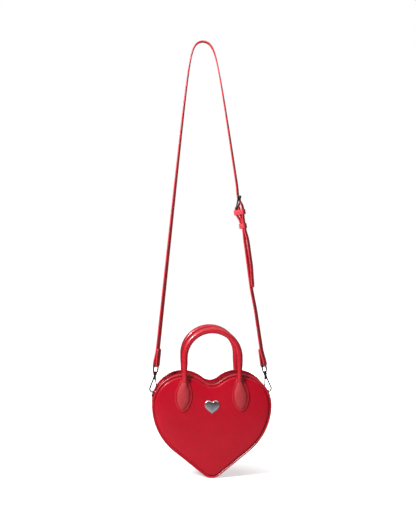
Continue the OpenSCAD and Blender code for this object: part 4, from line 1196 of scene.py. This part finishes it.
# the long part: from the left hook over the top and through the buckle to its rounded tail
def makeStrapLong():
    rings = eyeEnd(left)
    for u in np.linspace(-uAt(endDepth[left]), 0.0, 150)[1:]:
        place, normal, across, _ = route(u)
        rings.append(strapRing(place + normal * eyeOff(left, strap["crownDepth"] * u * u), normal, across))
    for u in np.linspace(0.0, uAt(frontDrop - buckle["long"]), 84)[1:]:
        place, normal, across, _ = route(u)
        rings.append(strapRing(place, normal, across))
    tip = strap["wide"] * 0.75
    stops = (frontDrop - buckle["long"], keeperLow + high / 2, tailDrop - tip)
    for first, last, count in zip(stops, stops[1:], (44, 40)):
        for depth in np.linspace(first, last, count)[1:]:
            rings.append(offRoute(depth, right, along(longStops, depth)))
    for share in (0.15, 0.3, 0.45, 0.6, 0.72, 0.82, 0.9, 0.96, 1.0):
        depth = tailDrop - tip + tip * share
        place, normal, across, _ = route(uAt(depth))
        narrow = math.sqrt(max(1 - share ** 2.2, 0.03))
        rings.append(strapRing(place + normal * along(longStops, depth), normal, across * narrow))
    piece = makePiece("strapLong", [(*loft(rings), edgePicks(len(rings)))], ["strapLeather", "edgePaint"],
                      50.0)
    steps = (0, -1, -2, -3, 3, 4, 5)
    cutOut(piece, [holeParts(prongDrop + step * buckle["holeStep"]) for step in steps])
    settle(piece, "strap", "strap_leather", "strap_long")
    sewBox(left)


# the short part: from the right hook up to the buckle's heel bar, round it and back under the keepers
def makeStrapShort():
    rings = eyeEnd(right)
    for depth in np.linspace(endDepth[right], buckle["drop"], 110)[1:]:
        rings.append(offRoute(depth, right, along(shortStops, depth) + eyeOff(right, depth)))
    rings += loopRings(right, buckle["drop"], heelOff, heelLoop, -1)[1:]
    for depth in np.linspace(buckle["drop"], keeperLow, 26)[1:]:
        place, normal, across, _ = route(uAt(depth))
        rings.append(strapRing(place + normal * along(foldStops, depth), -normal, across))
    piece = makePiece("strapShort", [(*loft(rings), edgePicks(len(rings)))], ["strapLeather", "edgePaint"],
                      50.0)
    # the slot for the prong
    place, normal, across, go = route(uAt(buckle["drop"]))
    centre = place + normal * heelOff
    half, up, deep = buckle["prong"], heelLoop * 2, heelLoop * 1.6
    down = buckle["wire"] / 2 + 0.05 + buckle["prong"] * 0.75 + strap["gap"]
    corners = ((-half, -up), (half, -up), (half, down), (-half, down))
    rings = [[centre + across * x + go * y + normal * z for x, y in corners] for z in (-deep, deep)]
    cutOut(piece, [(*loft(rings), 0)])
    settle(piece, "strap", "strap_leather", "strap_short")
    sewBox(right)


# keepers: a leather band that goes round all the layers; each edge of its section is rows of (share of the
# thickness, distance from the edge)
keeperEdge = ((0.0, 0.3), (0.25, 0.0), (0.7, 0.0), (1.0, 0.35), (0.93, 1.3), (1.0, 1.8))
keeperSection = [(share, -1, inside) for share, inside in keeperEdge]
keeperSection += [(share, 1, inside) for share, inside in reversed(keeperEdge)]


def makeKeeper(name, node, depth, low, top):
    place, normal, across, go = route(uAt(depth))
    halfWide = strap["wide"] / 2 + strap["gap"]
    middle, halfTall = (low + top) / 2, (top - low + thick) / 2 + strap["gap"]
    corner = buckle["keeperCorner"]
    rings = []
    for cx, cz, start in ((1, 1, 0), (-1, 1, 90), (-1, -1, 180), (1, -1, 270)):
        for angle in np.linspace(start, start + 90, 6):
            spoke = direction(angle)
            inner = np.array((cx * (halfWide - corner), cz * (halfTall - corner))) + corner * spoke
            ring = []
            for share, edge, inside in keeperSection:
                at = inner + buckle["keeperThick"] * share * spoke
                y = edge * (high / 2 - inside)
                ring.append(place + across * at[0] + normal * (middle + at[1]) + go * y)
            rings.append(ring)
    piece = makePiece(name, [(*loft(rings, lengthClosed=True), 0)], ["strapLeather"], 50.0)
    settle(piece, "strap", "strap_leather", node)


makeStrapLong()
makeStrapShort()
makeKeeper("keeperUpper", "keeper_upper", keeperTop, heelOff - heelLoop - thick * 0.3, thick * 1.75)
makeKeeper("keeperLower", "keeper_lower", keeperLow, -ply, ply)
print("strap made")


# ring tabs: one strip of leather folded round the ring's bar, with both ends sewn to the side wall
ringTab = {"angle": 6.0, "long": 22.7, "grip": 13.0, "wide": 12.0, "thick": 1.15, "loop": 1.68, "mid": 98.7,
           "apart": 0.03, "edge": 0.32, "sewnWide": 8.4, "sewnFrom": -11.0, "sewnTo": 15.0,
           "thread": (3.4, 2.6, 0.6)}


# rows of x, z and the outward direction, up the outer layer, round the ring and down the inner one
def ringTabPath():
    mid, offset = ringTab["mid"], ringTab["thick"] / 2 + ringTab["apart"]
    angles = np.linspace(-ringTab["grip"] / mid, 0.0, 9)
    straight = np.linspace(2.0, ringTab["long"] - 3.2, 9)
    outer, inner = mid + offset, mid - offset
    path = [(outer * math.cos(a), outer * math.sin(a), math.cos(a), math.sin(a)) for a in angles]
    path += [(outer, z, 1.0, 0.0) for z in straight]
    for angle in np.linspace(-14.0, 194.0, 19):
        x, z = direction(angle)
        path.append((mid + ringTab["loop"] * x, ringTab["long"] + ringTab["loop"] * z, x, z))
    path += [(inner, z, -1.0, 0.0) for z in straight[::-1]]
    path += [(inner * math.cos(a), inner * math.sin(a), -math.cos(a), -math.sin(a)) for a in angles[::-1]]
    return path


def makeRingTab(side):
    turn, t = math.radians(-ringTab["angle"]), ringTab["thick"]

    def inBag(x, z, y):
        placeX = flankCentre[0] + x * math.cos(turn) - z * math.sin(turn)
        placeZ = flankCentre[1] + x * math.sin(turn) + z * math.cos(turn)
        return np.array((side * placeX + heart["shift"], y, placeZ + heart["lobeZ"]))

    half, e = ringTab["wide"] / 2, ringTab["edge"]
    section = [(half - e, -t / 2), (half - 0.08, -t / 2 + 0.12), (half, -t / 2 + e)]
    section += [(y, -d) for y, d in reversed(section)]
    section += [(-y, -d) for y, d in section]
    rings = [[inBag(x + nx * d, z + nz * d, y) for y, d in section] for x, z, nx, nz in ringTabPath()]
    rows, normals = [], []
    wide, first, last = ringTab["sewnWide"] / 2, ringTab["sewnFrom"], ringTab["sewnTo"]
    corners = [(-wide, first), (-wide, last), (wide, last), (wide, first), (-wide, first)]
    radius = ringTab["mid"] + ringTab["apart"] + t
    origin = inBag(0.0, 0.0, 0.0)
    for (y0, z0), (y1, z1) in zip(corners, corners[1:]):
        for share in np.linspace(0.0, 1.0, 13)[:-1]:
            y, z = y0 + (y1 - y0) * share, z0 + (z1 - z0) * share
            angle = min(z, 0.0) / radius
            rows.append(inBag(radius * math.cos(angle), max(z, 0.0) + radius * math.sin(angle), y))
            normals.append(inBag(math.cos(angle), math.sin(angle), 0.0) - origin)
    parts = [(*loft(rings), 0), (*stitches(rows, normals, ringTab["thread"], True), 1)]
    piece = makePiece(endWord[side] + "RingTab", parts, ["strapLeather", "stitchThread"], 50.0)
    settle(piece, "bag", "red_leather", endWord[side] + "_ring_tab")


for side in (left, right):
    makeRingTab(side)
print("ring tabs made")


# zip pull: a metal tongue on its pin and a leather tag with a sewn edge; rings are (inset, height) for the
# tag, (place along, half width, half depth) for the tongue and (place along, radius) for the pin
pull = {"sliderAngle": 123.4485, "lie": -11.0, "long": 17.0, "wide": 5.4, "from": 3.4,
        "thread": (2.2, 1.6, 0.4),
        "tag": ((0.62, -0.5), (0.25, -0.62), (0.0, -0.3), (0.0, 0.3), (0.25, 0.62), (0.62, 0.5)),
        "tongue": ((-0.6, 0.6, 0.42), (0.6, 0.864, 0.5), (2.2, 0.864, 0.5), (3.2, 1.8, 0.82),
                   (6.0, 1.92, 0.85), (6.6, 1.62, 0.75)),
        "rod": ((-2.7, 0.35), (-2.5, 0.5), (2.5, 0.5), (2.7, 0.35))}


# outline of the tag: a rounded far end and a square near end
def tagOutline(wide, start, end, sides=14):
    angles = np.linspace(0.0, math.pi, sides)
    ring = [(wide / 2 * math.cos(a), end - wide / 2 + wide / 2 * math.sin(a)) for a in angles]
    return ring + [(-wide / 2, start), (wide / 2, start)]


def makePull():
    joints = {joint["name"]: joint for joint in frame["record"]["behaviour"]["joints"]}
    pin = np.array(list(joints["zip_pull_lift"]["pos_m"])) / mm
    slider, lie = direction(pull["sliderAngle"]), math.radians(pull["lie"])
    out = np.array((slider[0], 0.0, slider[1]))
    on = np.array((-slider[1], 0.0, slider[0]))
    x, z = out * math.cos(lie) - on * math.sin(lie), out * math.sin(lie) + on * math.cos(lie)
    rings = []
    for inset, level in pull["tag"]:
        outline = tagOutline(pull["wide"] - 2 * inset, pull["from"] + inset, pull["long"] - inset)
        rings.append([pin + upY * a + z * b + x * level for a, b in outline])
    outline = tagOutline(pull["wide"] - 2.0, pull["from"] + 1.2, pull["long"] - 1.0)
    seam = [pin + upY * a + z * b + x * 0.58 for a, b in outline]
    parts = [(*loft(rings), 0), (*stitches(seam, facing(x, seam), pull["thread"], True), 1)]
    tag = makePiece("pullTag", parts, ["strapLeather", "stitchThread"])
    settle(tag, "pull", "red_leather", "zip_pull")
    turns = np.arange(12) * math.pi / 6
    tongue = [[pin + upY * half * math.cos(a) + x * deep * math.sin(a) + z * b for a in turns]
              for b, half, deep in pull["tongue"]]
    rod = [[pin + upY * y + (x * math.cos(a) + z * math.sin(a)) * r for a in turns] for y, r in pull["rod"]]
    piece = makePiece("pullTongue", [(*loft(tongue), 0), (*loft(rod), 0)], ["zipMetal"])
    settle(piece, "pull", "zip_metal")


makePull()
print("zip pull made")


# emblem: a plain domed heart of polished metal on a low rim, with two posts through the front panel
emblem = {"wide": 25.0, "thick": 2.2, "rise": 3.0, "rim": 0.7, "rings": 9, "domeShare": 0.96,
          "domeLow": 1.6, "postShare": 0.2, "postR": 1.0, "postFrom": 34.6}


def makeEmblem():
    outline = wholeOutline(0.0)[:, :2] * emblem["wide"] / heart["width"]
    middle = np.array((heart["shift"], heart["lobeZ"] + emblem["rise"]))
    base = -(panel["crease"] + panel["edgeHigh"] + panel["crown"])
    rim, share = base - emblem["rim"], emblem["domeShare"]
    domeFrom = rim - 0.12
    levels = [(share, base), (1.0, base - 0.15), (1.0, rim), (0.97, domeFrom)]
    for t in np.linspace(0.0, 1.0, emblem["rings"] + 1)[1:]:
        rise = (base - emblem["thick"] - domeFrom) * (1 - (1 - t) ** 2)
        levels.append((share - 0.9 * t ** 2.2, domeFrom + rise))
    low = np.array((0.0, -emblem["domeLow"]))
    rings = [onFlat(middle + low + (outline - low) * share, y) for share, y in levels]
    parts = [(*loft(rings), 0)]
    around = np.array([direction(angle) for angle in np.arange(0, 360, 30)]) * emblem["postR"]
    for side in (left, right):
        centre = middle + np.array((side * emblem["wide"] * emblem["postShare"], 0.0))
        parts.append((*loft([onFlat(centre + around, y) for y in (-emblem["postFrom"], base - 0.6)]), 0))
    piece = makePiece("emblemHeart", parts, ["brightMetal"], 50.0)
    settle(piece, "bag", "bright_metal", "emblem")


makeEmblem()
print("emblem made")


# solids that are right as they are get their finish
finishOf = {"darkMetal": ("buckle_frame", "buckle_prong", "left_hook_eye", "right_hook_eye", "left_hook_body",
                          "right_hook_body", "left_hook_gate", "right_hook_gate", "left_ring", "right_ring",
                          "zip_slider"),
            "brightMetal": ("left_gate_pin", "right_gate_pin", "emblem_washers"),
            "zipMetal": ("zip_teeth", "zip_stops"),
            "fibreBoard": ("front_board", "back_board")}
for finish, names in finishOf.items():
    for name in names:
        nodes[name].data.materials.clear()
        nodes[name].data.materials.append(finishes[finish])
print("metal and board solids finished")

# studio: a small strong lamp from the upper left, a weak fill from the right and a lamp behind
# each lamp: place, size, power and whether glossy surfaces mirror it
lamps = {"keyLamp": ((-950.0, -1000.0, 400.0), 300.0, 32.0, True),
         "fillLamp": ((1500.0, -1700.0, -300.0), 1000.0, 2.5, False),
         "backLamp": ((500.0, 1700.0, -200.0), 900.0, 14.0, False)}
studio = {"aim": (14.0, 0.0, -620.0), "sky": 0.09, "room": 0.07, "ceiling": 1.0, "ceilingFrom": 0.35,
          "ceilingTo": 0.75}
white = (1.0, 1.0, 1.0)


def addLamp(name, place, size, power, mirrored):
    lamp = bpy.data.objects.new(name, bpy.data.lights.new(name, "AREA"))
    scene.collection.objects.link(lamp)
    lamp.data.shape = "DISK"
    lamp.data.size = size * mm
    lamp.data.energy = power
    lamp.visible_glossy = mirrored
    lamp.location = Vector(place) * mm
    lamp.rotation_euler = (Vector(studio["aim"]) * mm - lamp.location).to_track_quat("-Z", "Y").to_euler()


# the camera sees white, and reflections see a dark room with a white ceiling
def makeWorld():
    world = bpy.data.worlds.new("studioWorld")
    scene.world = world
    world.use_nodes = True
    tree = world.node_tree
    background = tree.nodes["Background"]
    path = addNode(tree, "LightPath")
    heading = addNode(tree, "SeparateXYZ")
    tree.links.new(addNode(tree, "TexCoord").outputs["Generated"], heading.inputs[0])
    ceiling = remap(tree, heading.outputs["Z"], studio["ceilingFrom"], studio["ceilingTo"], studio["room"],
                    studio["ceiling"])
    seen = remap(tree, path.outputs["Is Glossy Ray"], 0.0, 1.0, studio["sky"], ceiling)
    feed(tree, remap(tree, path.outputs["Is Camera Ray"], 0.0, 1.0, seen, 1.0), background.inputs["Strength"])
    feed(tree, white, background.inputs["Color"])


# the floor keeps the bag's shadow: seen by the camera it turns fully white away from the bag, and in mirror
# images it is grey beside the bag and dark further off; distances are in metres
floorFinish = {"drop": 0.4, "grey": (0.8, 0.8, 0.8), "rough": 0.9, "whiteFrom": 0.05, "whiteTo": 0.15,
               "glow": 0.55, "dimFrom": 0.3, "dimTo": 1.2, "dimNear": 0.42, "dimFar": 0.02,
               "reach": ((-6000.0, -1200.0), (6000.0, -1200.0), (6000.0, 9000.0), (-6000.0, 9000.0))}


def makeFloor():
    z = cadBox[0][2] - floorFinish["drop"] * mm
    mesh = bpy.data.meshes.new("studioFloor")
    mesh.from_pydata([(x * mm, y * mm, z) for x, y in floorFinish["reach"]], [], [(0, 1, 2, 3)])
    floor = bpy.data.objects.new("studioFloor", mesh)
    scene.collection.objects.link(floor)
    material, tree, shader = startMaterial("whiteFloor", Roughness=floorFinish["rough"],
                                           Specular_IOR_Level=0.0)
    feed(tree, white, shader.inputs["Emission Color"])
    fromBag = addNode(tree, "VectorMath", {"operation": "DISTANCE"})
    tree.links.new(objectPlace(tree), fromBag.inputs[0])
    fromBag.inputs[1].default_value = (heart["shift"] * mm, 0.0, z)
    away = fromBag.outputs["Value"]
    far = remap(tree, away, floorFinish["whiteFrom"], floorFinish["whiteTo"], floorFinish["glow"], 1.0)
    path = addNode(tree, "LightPath")
    forCamera = maths(tree, "MULTIPLY", path.outputs["Is Camera Ray"], far)
    dim = remap(tree, away, floorFinish["dimFrom"], floorFinish["dimTo"], floorFinish["dimNear"],
                floorFinish["dimFar"])
    colour = mixColour(tree, path.outputs["Is Glossy Ray"], floorFinish["grey"], greyOf(tree, dim))
    tree.links.new(colour, shader.inputs["Base Color"])
    tree.links.new(forCamera, shader.inputs["Emission Strength"])
    mesh.materials.append(material)


for name, lamp in lamps.items():
    addLamp(name, *lamp)
makeWorld()
makeFloor()
scene.view_settings.view_transform = "Standard"
print("studio made")
